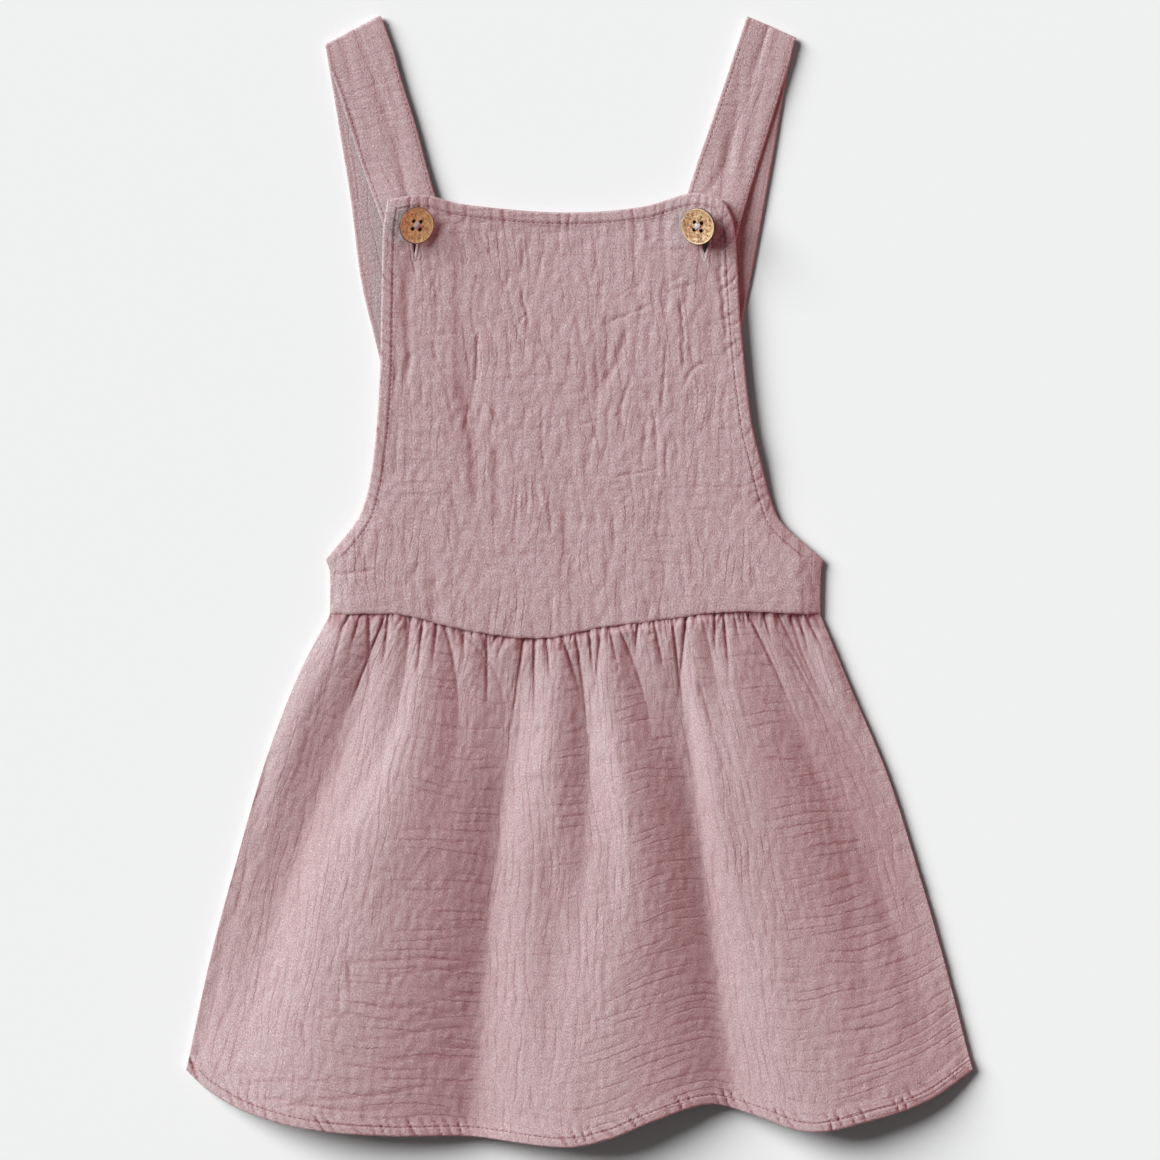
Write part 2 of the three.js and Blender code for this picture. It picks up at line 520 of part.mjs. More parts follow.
function bodiceBackRows() {
  const inset = 1
  const edges = {
    upper: across(() => BACK_NECK_Y, bibLeft(BACK_NECK_Y) + inset, bibRight(BACK_NECK_Y) - inset),
    lower: across(waist, SIDE_LEFT[2].x, SIDE_RIGHT[2].x),
    left: (v) => {
      const y = mix(BACK_NECK_Y, WAIST_SIDE_Y, v)
      return [bodiceLeft(y) + inset * smooth((y - ARMHOLE_Y + 20) / 20), y]
    },
    right: (v) => {
      const y = mix(BACK_NECK_Y, WAIST_SIDE_Y, v)
      return [bodiceRight(y) - inset * smooth((y - ARMHOLE_Y + 20) / 20), y]
    },
  }
  const underarm = (BACK_NECK_Y - ARMHOLE_Y) / (BACK_NECK_Y - WAIST_SIDE_Y)
  const vs = [...evenly(8, 0, underarm), ...evenly(2, underarm, 1).slice(1)]
  return vs.map((v) => evenly(BACK_COLUMNS).map((u) => {
    const [x, y] = patchPoint(edges, u, v)
    return { u, upper: [x, y, BACK_TOP], lower: [x, y, 0] }
  }))
}

// A strap runs from its buttoned end up the front, over its fold at the shoulder and down the back.

function strapLine(rows, count) {
  const outer = new THREE.SplineCurve(rows.map((row) => new THREE.Vector2(...row.outer)))
  const inner = new THREE.SplineCurve(rows.map((row) => new THREE.Vector2(...row.inner)))
  return evenly(count).map((t) => ({ outer: outer.getPoint(t).toArray(), inner: inner.getPoint(t).toArray() }))
}

function strapRows(strap) {
  const frontMiddle = STRAP_LEVEL + STRAP / 2
  const backMiddle = STRAP / 2
  const foldRadius = (frontMiddle - backMiddle) / 2
  const axis = new THREE.Vector2(...strap.fold.inner).sub(new THREE.Vector2(...strap.fold.outer)).normalize()
  const away = new THREE.Vector2(-axis.y * -strap.side, axis.x * -strap.side)
  const stations = []
  for (const row of strapLine([...strap.front].reverse(), 14)) {
    stations.push({ ...row, level: frontMiddle, swells: true, normal: [0, 0, 1] })
  }
  for (const turn of evenly(6, 0, Math.PI)) {
    const out = foldRadius * Math.sin(turn)
    const move = ([x, y]) => [x + away.x * out, y + away.y * out]
    stations.push({
      outer: move(strap.fold.outer),
      inner: move(strap.fold.inner),
      level: backMiddle + foldRadius * (1 + Math.cos(turn)),
      normal: [away.x * Math.sin(turn), away.y * Math.sin(turn), Math.cos(turn)],
    })
  }
  for (const row of strapLine(strap.back, 14)) {
    const y = (row.outer[1] + row.inner[1]) / 2
    const climb = smooth((BACK_NECK_Y + 14 - y) / 12)
    stations.push({ ...row, level: backMiddle + STRAP_END_RISE * climb, normal: [0, 0, -1] })
  }
  return stations.map(({ outer, inner, level, swells, normal }) => {
    const width = Math.hypot(outer[0] - inner[0], outer[1] - inner[1])
    const stitch = STRAP_STITCH / width
    const profile = [
      { u: 0, thick: 1 }, { u: stitch, thick: STITCHED_SHARE }, { u: 0.3, thick: 1 },
      { u: 0.7, thick: 1 }, { u: 1 - stitch, thick: STITCHED_SHARE }, { u: 1, thick: 1 },
    ]
    return profile.map(({ u, thick }) => {
      const at = strap.side < 0 ? 1 - u : u
      const x = mix(outer[0], inner[0], at)
      const y = mix(outer[1], inner[1], at)
      const middle = [x, y, level + (swells ? STRAP_SHARE_OF_SWELL * buttonSwell(x, y) : 0)]
      const half = STRAP / 2 * thick
      return {
        u,
        upper: middle.map((value, i) => value + normal[i] * half),
        lower: middle.map((value, i) => value - normal[i] * half),
      }
    })
  })
}

// manifold-3d joins and cuts closed meshes.

function toSolid(geometry) {
  const bare = geometry.clone()
  bare.deleteAttribute('normal')
  bare.deleteAttribute('uv')
  const merged = mergeVertices(bare, 1e-4)
  return new wasm.Manifold(new wasm.Mesh({
    numProp: 3,
    vertProperties: new Float32Array(merged.attributes.position.array),
    triVerts: new Uint32Array(merged.index.array),
  }))
}

function toGeometry(solid) {
  const mesh = solid.getMesh()
  const geometry = new THREE.BufferGeometry()
  geometry.setAttribute('position', new THREE.BufferAttribute(mesh.vertProperties, 3))
  geometry.setIndex(new THREE.BufferAttribute(mesh.triVerts, 1))
  return geometry
}

// The slit of a buttonhole: a thin prism, pointed at both ends.
function buttonholeCutter({ x, high, low, wide }) {
  const outline = new THREE.Shape()
  const middle = (high + low) / 2
  outline.moveTo(x, low)
  outline.quadraticCurveTo(x + wide, middle, x, high)
  outline.quadraticCurveTo(x - wide, middle, x, low)
  const geometry = new THREE.ExtrudeGeometry(outline, { depth: 30, bevelEnabled: false, curveSegments: 6 })
  return toSolid(geometry)
}

function buttonGeometry() {
  const { radius, thick, bevel, rim, dish, hole, pitch, sides } = BUTTON
  const profile = [
    [0, 0], [radius - bevel, 0], [radius - 0.4, 0.5], [radius, 1.2], [radius - 0.3, thick - 0.3],
    [radius - 0.8, thick], [radius - rim, thick - 0.15], [radius - rim - 1.2, thick - dish], [0, thick - dish],
  ].map(([x, y]) => new THREE.Vector2(x, y))
  let solid = toSolid(new THREE.LatheGeometry(profile, sides).rotateX(Math.PI / 2))
  for (const [sx, sy] of [[1, 1], [1, -1], [-1, 1], [-1, -1]]) {
    const drill = new THREE.CylinderGeometry(hole, hole, 4 * thick, 12).rotateX(Math.PI / 2)
    drill.translate(sx * pitch / 2, sy * pitch / 2, 0)
    solid = solid.subtract(toSolid(drill))
  }
  return toGeometry(solid)
}

// Height of a leaning button's middle at which its underside just clears the bib.
function restingLift({ x, y, lean, towards }) {
  const slope = Math.tan(THREE.MathUtils.degToRad(lean))
  const direction = THREE.MathUtils.degToRad(towards)
  const footRadius = BUTTON.radius - BUTTON.bevel
  const spots = [0.5, 0.8, 1].flatMap((part) => evenly(24, 0, 2 * Math.PI).map((angle) => {
    const along = part * footRadius * Math.cos(angle) * Math.cos(Math.atan(slope))
    const beside = part * footRadius * Math.sin(angle)
    const px = x + along * Math.cos(direction) - beside * Math.sin(direction)
    const py = y + along * Math.sin(direction) + beside * Math.cos(direction)
    const onHem = py > neckline(px) - NECK_HEM || px < bodiceLeft(py) + ARMHOLE_HEM ||
      px > bodiceRight(py) - ARMHOLE_HEM
    return bodiceHeight(px, py) + (onHem ? HEM_RISE : 0) + along * slope
  }))
  return Math.max(...spots) + SEAM_GAP
}

function buttonMesh(button) {
  const { name, x, y, lean, towards, turn } = button
  const mesh = new THREE.Mesh(buttonGeometry(), coconut)
  const direction = THREE.MathUtils.degToRad(towards)
  const tiltAxis = new THREE.Vector3(-Math.sin(direction), Math.cos(direction), 0)
  mesh.name = name
  mesh.position.set(x, y, restingLift(button))
  mesh.quaternion.setFromAxisAngle(tiltAxis, THREE.MathUtils.degToRad(lean))
  mesh.rotateZ(THREE.MathUtils.degToRad(turn))
  return mesh
}

function clothMesh(name, geometry) {
  const mesh = new THREE.Mesh(geometry, gauze)
  mesh.name = name
  return mesh
}

function bodiceFrontGeometry() {
  let solid = toSolid(wall(bodiceFrontRows()))
  for (const buttonhole of BUTTONHOLES) solid = solid.subtract(buttonholeCutter(buttonhole))
  return toGeometry(solid)
}

const dress = new THREE.Group()
dress.add(clothMesh('back_bodice', wall(bodiceBackRows())))
dress.add(clothMesh('back_skirt', wall(skirtBackRows())))
dress.add(clothMesh(LEFT_STRAP.name, wall(strapRows(LEFT_STRAP))))
dress.add(clothMesh(RIGHT_STRAP.name, wall(strapRows(RIGHT_STRAP))))
dress.add(clothMesh('front_bodice', bodiceFrontGeometry()))
dress.add(clothMesh('front_skirt', wall(skirtFrontRows())))
for (const button of BUTTONS) dress.add(buttonMesh(button))

export default dress
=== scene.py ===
# %% [markdown]
# # A child's pinafore dress in double gauze
# The dress lies flat on its back on a pale table. It has a bib front and a back bodice, a gathered
# skirt sewn to both, and two straps that come over the shoulders and button onto the bib.
# The frame holds the dress as plain walls of cloth, and every piece made here takes the place of one
# of them. A real double gauze is two thin layers of plain weave caught together at points, so it
# crinkles when it is washed. The folds and the larger crinkles are made as geometry, because they
# change the outline and catch the light, and only the weave and the finest wrinkles are left to
# the material.

import math

import bmesh
import bpy
import numpy as np
from mathutils import Matrix, Vector
from mathutils.bvhtree import BVHTree


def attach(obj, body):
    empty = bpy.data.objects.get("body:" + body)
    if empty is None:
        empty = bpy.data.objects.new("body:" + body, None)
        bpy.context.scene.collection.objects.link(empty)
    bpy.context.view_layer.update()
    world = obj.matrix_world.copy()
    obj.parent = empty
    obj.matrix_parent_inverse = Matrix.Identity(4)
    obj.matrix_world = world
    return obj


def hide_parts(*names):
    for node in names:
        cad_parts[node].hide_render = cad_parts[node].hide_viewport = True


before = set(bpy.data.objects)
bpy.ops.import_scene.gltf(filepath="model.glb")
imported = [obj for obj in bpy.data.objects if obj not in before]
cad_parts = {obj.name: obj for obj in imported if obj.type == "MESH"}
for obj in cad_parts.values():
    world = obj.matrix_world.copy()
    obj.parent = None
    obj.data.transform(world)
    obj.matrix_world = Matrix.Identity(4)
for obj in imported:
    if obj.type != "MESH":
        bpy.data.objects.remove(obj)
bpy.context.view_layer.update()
MM = 0.001
print("nodes:", sorted(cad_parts))

# %% [markdown]
# ## Sizes that the pieces share
# The levels say how the layers lie on each other: the back panels on the table, the straps over
# them, and the bib on top. All lengths are in millimetres until a mesh is written, which keeps the
# tables below easy to read beside a sewing pattern.

# %% Thicknesses and levels
CLOTH = 1.2
STRAP = 1.6
SEAM_GAP = 0.3
HEM_RISE = 0.5
FRONT_FLOOR = CLOTH + SEAM_GAP
STRAP_LEVEL = STRAP + SEAM_GAP
OVER_STRAPS = STRAP_LEVEL + STRAP + 2 * SEAM_GAP
ARMHOLE_Y, WAIST_SIDE_Y, HEM_SIDE_Y, BACK_NECK_Y = 11, -18.5, -264.5, 97
WAIST_HEIGHT, SKIRT_HEIGHT, FULL_AFTER = 6.3, 19.5, 128
NECK_HEM, ARMHOLE_HEM = 9.7, 7.6
NECK_BAND, ARMHOLE_BAND, SKIRT_BAND = 6.5, 6.4, 5.6
STITCH_INSET = 0.4
BIB_SAG, BODICE_ROLL = 1.9, 16


def smooth(t):
    """0 up to 0, 1 from 1 on, and an S-shaped curve between them."""
    t = np.clip(t, 0, 1)
    return t * t * (3 - 2 * t)


def mix(a, b, t):
    """a where t is 0, b where t is 1, and straight between them."""
    return a + (b - a) * t


print("the bib lies", round(OVER_STRAPS, 1), "mm up, on the straps")

# %% [markdown]
# ## The outline
# A pattern cutter draws each edge as one smooth line through a few marks. The same is done here:
# a table of marks, and a function that runs a smooth cubic line through them. An alternative is a
# Bezier curve object, but a function can be asked for the edge at any height, which the panels need.

# %% Outline marks and the lines through them
def line_through(marks, along):
    """A smooth line through (x, y) marks. along is 0 to ask by x and get y, or 1 for the reverse."""
    table = np.array(sorted(marks, key=lambda mark: mark[along]), float)
    key, value = table[:, along], table[:, 1 - along]
    ahead = np.minimum(np.arange(len(key)) + 1, len(key) - 1)
    behind = np.maximum(np.arange(len(key)) - 1, 0)
    slope = (value[ahead] - value[behind]) / (key[ahead] - key[behind])

    def at(where):
        where = np.asarray(where, float)
        i = np.clip(np.searchsorted(key, where, side="right") - 1, 0, len(key) - 2)
        span = key[i + 1] - key[i]
        t = np.clip((where - key[i]) / span, 0, 1)
        bend = span * (slope[i] * t * (1 - t) ** 2 - slope[i + 1] * t * t * (1 - t))
        return mix(value[i], value[i + 1], smooth(t)) + bend

    return at


BIB_LEFT = [(-103.4, 204.7), (-105.8, 189), (-106.9, 150), (-107.8, 108), (-111.3, 65),
            (-115.6, 43), (-120.6, 31.5), (-136.9, ARMHOLE_Y)]
BIB_RIGHT = [(78, 204.7), (83.2, 191.7), (87.2, 136), (92.6, 86.4), (97.6, 65), (103.4, 43.2),
             (109.2, 31), (131.5, ARMHOLE_Y)]
SIDE_LEFT = [(-136.9, ARMHOLE_Y), (-134.8, 5), (-134.7, WAIST_SIDE_Y)]
SIDE_RIGHT = [(131.5, ARMHOLE_Y), (130.4, 5), (129.9, WAIST_SIDE_Y)]
NECKLINE = [(-103.4, 204.7), (-90, 207.4), (-80, 207.2), (-65, 203), (-11, 198.4), (32, 201),
            (57, 208), (66, 208.4), (78, 204.7)]
WAIST = [(-134.7, WAIST_SIDE_Y), (-96.9, -18.8), (-73.7, -24.3), (-50, -29.2), (-20.3, -31.6),
         (12.7, -25.7), (47.3, -21.3), (79.7, -17.3), (129.9, WAIST_SIDE_Y)]
SKIRT_LEFT = [(-134.7, WAIST_SIDE_Y), (-151.5, -51), (-169.3, -97), (-186.6, -156.6),
              (-199.5, -205), (-212.3, HEM_SIDE_Y)]
SKIRT_RIGHT = [(129.9, WAIST_SIDE_Y), (147, -59.4), (166.3, -105), (182.8, -156.6),
               (196.8, -205), (212.3, HEM_SIDE_Y)]
FRONT_HEM = [(-212.3, HEM_SIDE_Y), (-200.6, -275), (-179, -286.7), (-146.6, -295.4),
             (-103.4, -299.2), (-60.2, -299.7), (-8, -305.1), (15.4, -300.8), (40, -291),
             (69.4, -282.4), (91, -287.3), (123.4, -297), (158, -290.6), (188.2, -280.3),
             (212.3, HEM_SIDE_Y)]
BACK_HEM = [(-212.3, HEM_SIDE_Y), (-178, -281.5), (-134.7, -290.4), (-80.7, -293.7),
            (-10.5, -290.5), (65, -278.6), (119, -284), (167.7, -279.6), (212.3, HEM_SIDE_Y)]

neckline, waist = line_through(NECKLINE, 0), line_through(WAIST, 0)
front_hem, back_hem = line_through(FRONT_HEM, 0), line_through(BACK_HEM, 0)
bib_left, bib_right = line_through(BIB_LEFT, 1), line_through(BIB_RIGHT, 1)
side_left, side_right = line_through(SIDE_LEFT, 1), line_through(SIDE_RIGHT, 1)
skirt_left, skirt_right = line_through(SKIRT_LEFT, 1), line_through(SKIRT_RIGHT, 1)
WAIST_ENDS = (WAIST[0][0], WAIST[-1][0])
print("chest", round(SIDE_RIGHT[0][0] - SIDE_LEFT[0][0]), "mm, hem", round(2 * FRONT_HEM[-1][0]), "mm")


def bodice_left(y):
    return np.where(y > ARMHOLE_Y, bib_left(y), side_left(y))


def bodice_right(y):
    return np.where(y > ARMHOLE_Y, bib_right(y), side_right(y))


# %% [markdown]
# ## Folds and gathers
# The skirt is wider than the waist that it is sewn to, so its top is drawn up into gathers. Most of
# them die away within a few centimetres, and the ones that run on become the long folds. Each
# fold is the valley between two rounded flutes: a line that it follows, how deep it is at three
# points of that line, and how far its two sides reach. A cloth simulation could make folds too, but
# not these folds, in these places.

# %% Fold and gather tables
def table(columns, *rows):
    """A list of rows whose values are asked for by column."""
    return [dict(zip(columns, row)) for row in rows]


FOLD_COLUMNS = ("start", "via", "end", "deep", "left", "right")
FOLDS = table(
    FOLD_COLUMNS,
    ((-127, -22), (-141, -75), (-160, -140), (0, 2, 1.5), (16, 15), (16, 8)),
    ((-106, -22), (-139, -110), (-197, -300), (2.5, 15, 0), (24, 85), (26, 65)),
    ((-93, -22), (-95, -54), (-120, -117), (1.5, 2.5, 1.5), (8, 15), (6, 11)),
    ((-72, -27), (-66, -60), (-85, -153), (4, 3.5, 1), (13, 30), (27, 90)),
    ((-62, -30), (-46, -50), (-40, -70), (1, 3, 1.5), (8, 14), (7, 27)),
    ((-30, -31), (-43, -130), (-57, -290), (3, 12, 12), (40, 80), (18, 52)),
    ((-24, -110), (-13, -204), (-23, -299), (1.5, 3, 0), (32, 15), (32, 28)),
    ((-2, -31), (5, -123), (-9, -230), (2.5, 8.5, 0), (5, 70), (10, 28)),
    ((15, -100), (17, -141), (16, -222), (1, 3, 0), (12, 12), (23, 18)),
    ((21, -25), (28, -42), (44, -130), (0.5, 4, 1.5), (6, 33), (4, 90)),
    ((50, -22), (62, -121), (83, -292), (1, 14, 12), (28, 68), (4, 46)),
    ((66, -20), (71, -41), (78, -89), (1, 2, 0.5), (10, 11), (10, 6)),
    ((66, -60), (86, -136), (106, -242), (1, 6, 0.5), (4, 44), (40, 90)),
    ((91, -19), (133, -118), (158, -300), (5, 13, 2), (30, 90), (28, 90)),
    ((114, -20), (118, -34), (137, -72), (6, 8, 2), (17, 8), (19, 10)),
    ((114, -40), (148, -109), (183, -233), (1, 14, 2), (19, 23), (14, 44)),
)
GATHER_COLUMNS = ("at", "deep", "long", "lean", "reach")
GATHERS = table(
    GATHER_COLUMNS,
    (-124, 2, 14, -0.5, 6), (-118, 1.5, 22, -0.3, 8), (-113.5, 1.5, 45, 0, 7), (-103, 1.5, 36, -0.1, 4),
    (-91, 1.5, 27, -0.1, 7), (-84.5, 2.2, 38, -0.1, 5.5), (-77, 1.2, 30, -0.1, 7), (-62.5, 1.5, 17, 0, 6),
    (-50, 2, 45, 0, 6), (-45, 1.5, 8, -0.3, 4), (-40.5, 1.2, 14, -0.3, 3.5), (-30.5, 1.2, 10, 0, 3.5),
    (-24.5, 1.8, 48, 0, 6), (-18, 2, 26, 0.1, 7), (-9.5, 2.5, 37, 0.3, 6), (5, 2.2, 30, 0.1, 6.5),
    (11.5, 1.5, 38, -0.1, 5), (16, 1.5, 26, 0.2, 6), (31.5, 2, 18, -0.1, 8), (40, 1.5, 37, 0.2, 3.5),
    (46, 1, 10, 0.1, 4), (57.5, 1.8, 55, -0.1, 6), (62, 1, 8, 0, 4.5), (73, 1.8, 24, 0, 8),
    (77.5, 2, 35, 0.1, 5.5), (83, 1.2, 20, 0.2, 5.5), (88, 1.2, 13, 0.2, 4), (99, 2, 17, 0.3, 7),
    (106.5, 3.5, 46, 0.5, 4.5), (117.5, 2.5, 25, 0.3, 4), (121.5, 2.5, 22, 0.5, 4.5),
    (126.5, 1.6, 12, 0.4, 4.5),
)
GATHER_BULGE = 2.1
FOLD_SOFT, GATHER_SOFT, CREASE_SOFT = 6, 0.5, 1
SIDE_ROLL = (14, 79)

BIB_CREASES = table(
    FOLD_COLUMNS,
    ((-92, 182), (-92.5, 155), (-90, 112), (0.9, 1.3, 0.1), (12, 10), (8, 8)),
    ((-67, 168), (-58, 95), (-53, 20), (0.3, 1.1, 0.2), (24, 24), (16, 16)),
    ((-84, 30), (-80, 8), (-78, -16), (0.1, 0.6, 0.5), (10, 10), (8, 8)),
    ((22, 150), (12, 112), (5, 75), (0.2, 0.9, 0.1), (16, 14), (12, 10)),
    ((-12, 75), (-6, 20), (2, -22), (0.1, 0.8, 0.3), (14, 14), (10, 10)),
    ((64, 180), (66, 150), (72, 90), (0.8, 1, 0.1), (12, 12), (8, 8)),
    ((48, 60), (46, 15), (45, -18), (0.1, 0.7, 0.4), (14, 12), (10, 10)),
)
BUTTON_SWELLS = [dict(x=-98, y=197, high=4.6, reach=13), dict(x=75, y=196, high=4.6, reach=13)]
print(len(FOLDS), "folds and", len(GATHERS), "gathers")


# %% Depth of a fold, and the height of the cloth
def valley(away, reach, soft):
    """The shape across a fold: 1 at its line, falling in a curve to 0 at its reach."""
    away = np.hypot(away, soft) - soft
    return np.maximum(1 - away / reach, 0) ** 2


def fold_line(fold, y):
    """Where a fold runs at each height y, and the share of its length that lies above."""
    (x0, y0), (x1, y1), (x2, y2) = fold["start"], fold["via"], fold["end"]
    middle = (y0 - y1) / (y0 - y2)
    t = np.clip((y0 - y) / (y0 - y2), -0.1, 1.25)
    line = (x0 * (t - middle) * (t - 1) / middle + x1 * t * (t - 1) / (middle * (middle - 1))
            + x2 * t * (t - middle) / (1 - middle))
    return line, t, middle


def fold_depth(fold, x, y, soft=FOLD_SOFT):
    """How far one fold lowers the cloth at each point."""
    line, t, middle = fold_line(fold, y)
    deep = np.where(t < middle, mix(fold["deep"][0], fold["deep"][1], smooth(t / middle)),
                    mix(fold["deep"][1], fold["deep"][2], smooth((t - middle) / (1 - middle))))
    along = np.clip(t, 0, 1)
    reach = np.where(x < line, mix(*fold["left"], along), mix(*fold["right"], along))
    fade = smooth(1 + (fold["start"][1] - y) / 8) * smooth(1 + (y - fold["end"][1]) / 45)
    return deep * fade * valley(x - line, reach, soft * mix(0.3, 1, along))


def gather_depth(gather, x, drop):
    """How far one gather lowers the cloth, at places a drop below the waist seam."""
    away = x - gather["at"] - gather["lean"] * drop
    reach = gather["reach"] * (1 + 0.03 * drop)
    return gather["deep"] * smooth(1 - drop / gather["long"]) * valley(away, reach, GATHER_SOFT)


def skirt_folds(x, y):
    """How far all the folds and gathers together lower the skirt."""
    drop = np.maximum(waist(np.clip(x, *WAIST_ENDS)) - y, 0)
    return sum(fold_depth(fold, x, y) for fold in FOLDS) + sum(gather_depth(g, x, drop) for g in GATHERS)


def skirt_height(x, y):
    """The level of the skirt's upper face: full below the gathers, rolling down at its sides."""
    drop = np.maximum(waist(np.clip(x, *WAIST_ENDS)) - y, 0)
    down = np.clip((WAIST_SIDE_Y - y) / (WAIST_SIDE_Y - HEM_SIDE_Y), 0, 1)
    edge_y = np.clip(y, HEM_SIDE_Y, WAIST_SIDE_Y)
    inside = np.maximum(np.minimum(x - skirt_left(edge_y), skirt_right(edge_y) - x), 0)
    rise = np.sin(math.pi / 2 * np.clip(inside / mix(*SIDE_ROLL, down), 0, 1))
    full = mix(WAIST_HEIGHT, SKIRT_HEIGHT, smooth(drop / FULL_AFTER))
    full = full + GATHER_BULGE * smooth(drop / 4) * smooth(1 - drop / 60)
    lowest = FRONT_FLOOR + CLOTH
    above = (full - lowest) * rise - skirt_folds(x, y)
    return lowest + (above + np.hypot(above, 2 * np.clip(inside / 10, 0, 1))) / 2


def button_swell(x, y):
    """How far the cloth is lifted round the buttons."""
    return sum(at["high"] * np.exp(-((x - at["x"]) ** 2 + (y - at["y"]) ** 2) / (2 * at["reach"] ** 2))
               for at in BUTTON_SWELLS)


def bodice_height(x, y):
    """The level of the bodice's upper face, which lies on the straps above and sags between them."""
    lowest, over_straps = FRONT_FLOOR + CLOTH, OVER_STRAPS + CLOTH
    on_strap = smooth((y - 72) / 10) * np.maximum(smooth((-58 - x) / 12), smooth((x - 38) / 12))
    sag = BIB_SAG * np.exp(-(((x + 12) / 45) ** 2)) * smooth((y - 110) / 80)
    near_waist = smooth(1 - (y - waist(np.clip(x, *WAIST_ENDS))) / 60)
    level = mix(over_straps, WAIST_HEIGHT, near_waist) - sag
    edge = mix(lowest, over_straps, smooth((y - 35) / 42))
    inside = np.maximum(np.minimum(x - bodice_left(y), bodice_right(y) - x), 0)
    rise = np.sin(math.pi / 2 * np.clip(inside / BODICE_ROLL, 0, 1))
    creases = sum(fold_depth(crease, x, y, CREASE_SOFT) for crease in BIB_CREASES)
    swell = button_swell(x, y)
    return np.maximum(mix(edge, level, rise) + swell - creases, mix(lowest, over_straps + swell, on_strap))


def upright(height, x, y, step=0.5):
    """How much thicker a sloping wall is when it is measured straight up."""
    dx = (height(x + step, y) - height(x - step, y)) / (2 * step)
    dy = (height(x, y + step) - height(x, y - step)) / (2 * step)
    return np.minimum(np.sqrt(1 + dx * dx + dy * dy), 1.8)


# %% [markdown]
# ## The crinkle
# Double gauze shrinks unevenly, so small puffs stand up between thin creases that run mostly down
# the cloth, with some across it. Smooth random numbers, stretched along the grain, make the puffs.
# The creases lie in rows, because the layers are caught together in rows, so they are ribs at an
# even spacing that sway, and other random numbers say where they show. It could be a displacement
# texture, but numbers worked out here are the same in every program.

# %% Smooth random numbers and the crinkle made of them
CREASE_PITCH, CROSSING_PITCH = 8.2, 6.4
PUFF_HEIGHT, CREASE_DEPTH, CROSSING_DEPTH = 0.22, 0.34, 0.24


def noise(x, y, seed):
    """Smooth random numbers of about -1 to 1 that change over a distance of 1."""
    angles = np.random.default_rng(seed).uniform(0, 2 * math.pi, (64, 64))
    x0, y0 = np.floor(x).astype(int), np.floor(y).astype(int)
    fx, fy = x - x0, y - y0

    def corner(i, j):
        angle = angles[(x0 + i) % 64, (y0 + j) % 64]
        return np.cos(angle) * (fx - i) + np.sin(angle) * (fy - j)

    return 1.5 * mix(mix(corner(0, 0), corner(1, 0), smooth(fx)),
                     mix(corner(0, 1), corner(1, 1), smooth(fx)), smooth(fy))


def ribs(along, pitch, sway, sharp):
    """1 on evenly spaced lines that sway, falling to 0 beside them."""
    return np.exp(-((np.sin(math.pi * (along / pitch + sway)) / sharp) ** 2))


def crinkle(across, down, seed, creases=1.0, crossings=1.0):
    """Height of the crinkled cloth, in millimetres, at places measured along its own grain."""
    sway = 1.1 * noise(across / 24, down / 45, seed) + 0.2 * noise(across / 9, down / 8, seed + 1)
    here = np.clip(0.5 + 1.2 * noise(across / 11, down / 22, seed + 2), 0, 1)
    bow = 0.8 * noise(across / 55, down / 30, seed + 3) + 0.15 * noise(across / 8, down / 9, seed + 7)
    over_here = np.clip(0.5 + 1.2 * noise(across / 24, down / 8, seed + 4), 0, 1)
    puffs = noise(across / 3.8, down / 5.6, seed + 5) + 0.7 * noise(across / 8, down / 11, seed + 6)
    crease = here * ribs(across, CREASE_PITCH, sway, 0.5)
    crossing = over_here * ribs(down, CROSSING_PITCH, bow, 0.55)
    return PUFF_HEIGHT * puffs - CREASE_DEPTH * creases * crease - CROSSING_DEPTH * crossings * crossing


sample = crinkle(*np.meshgrid(np.arange(0.0, 100), np.arange(0.0, 100)), seed=1)
print("the crinkle reaches from", round(sample.min(), 2), "to", round(sample.max(), 2), "mm")
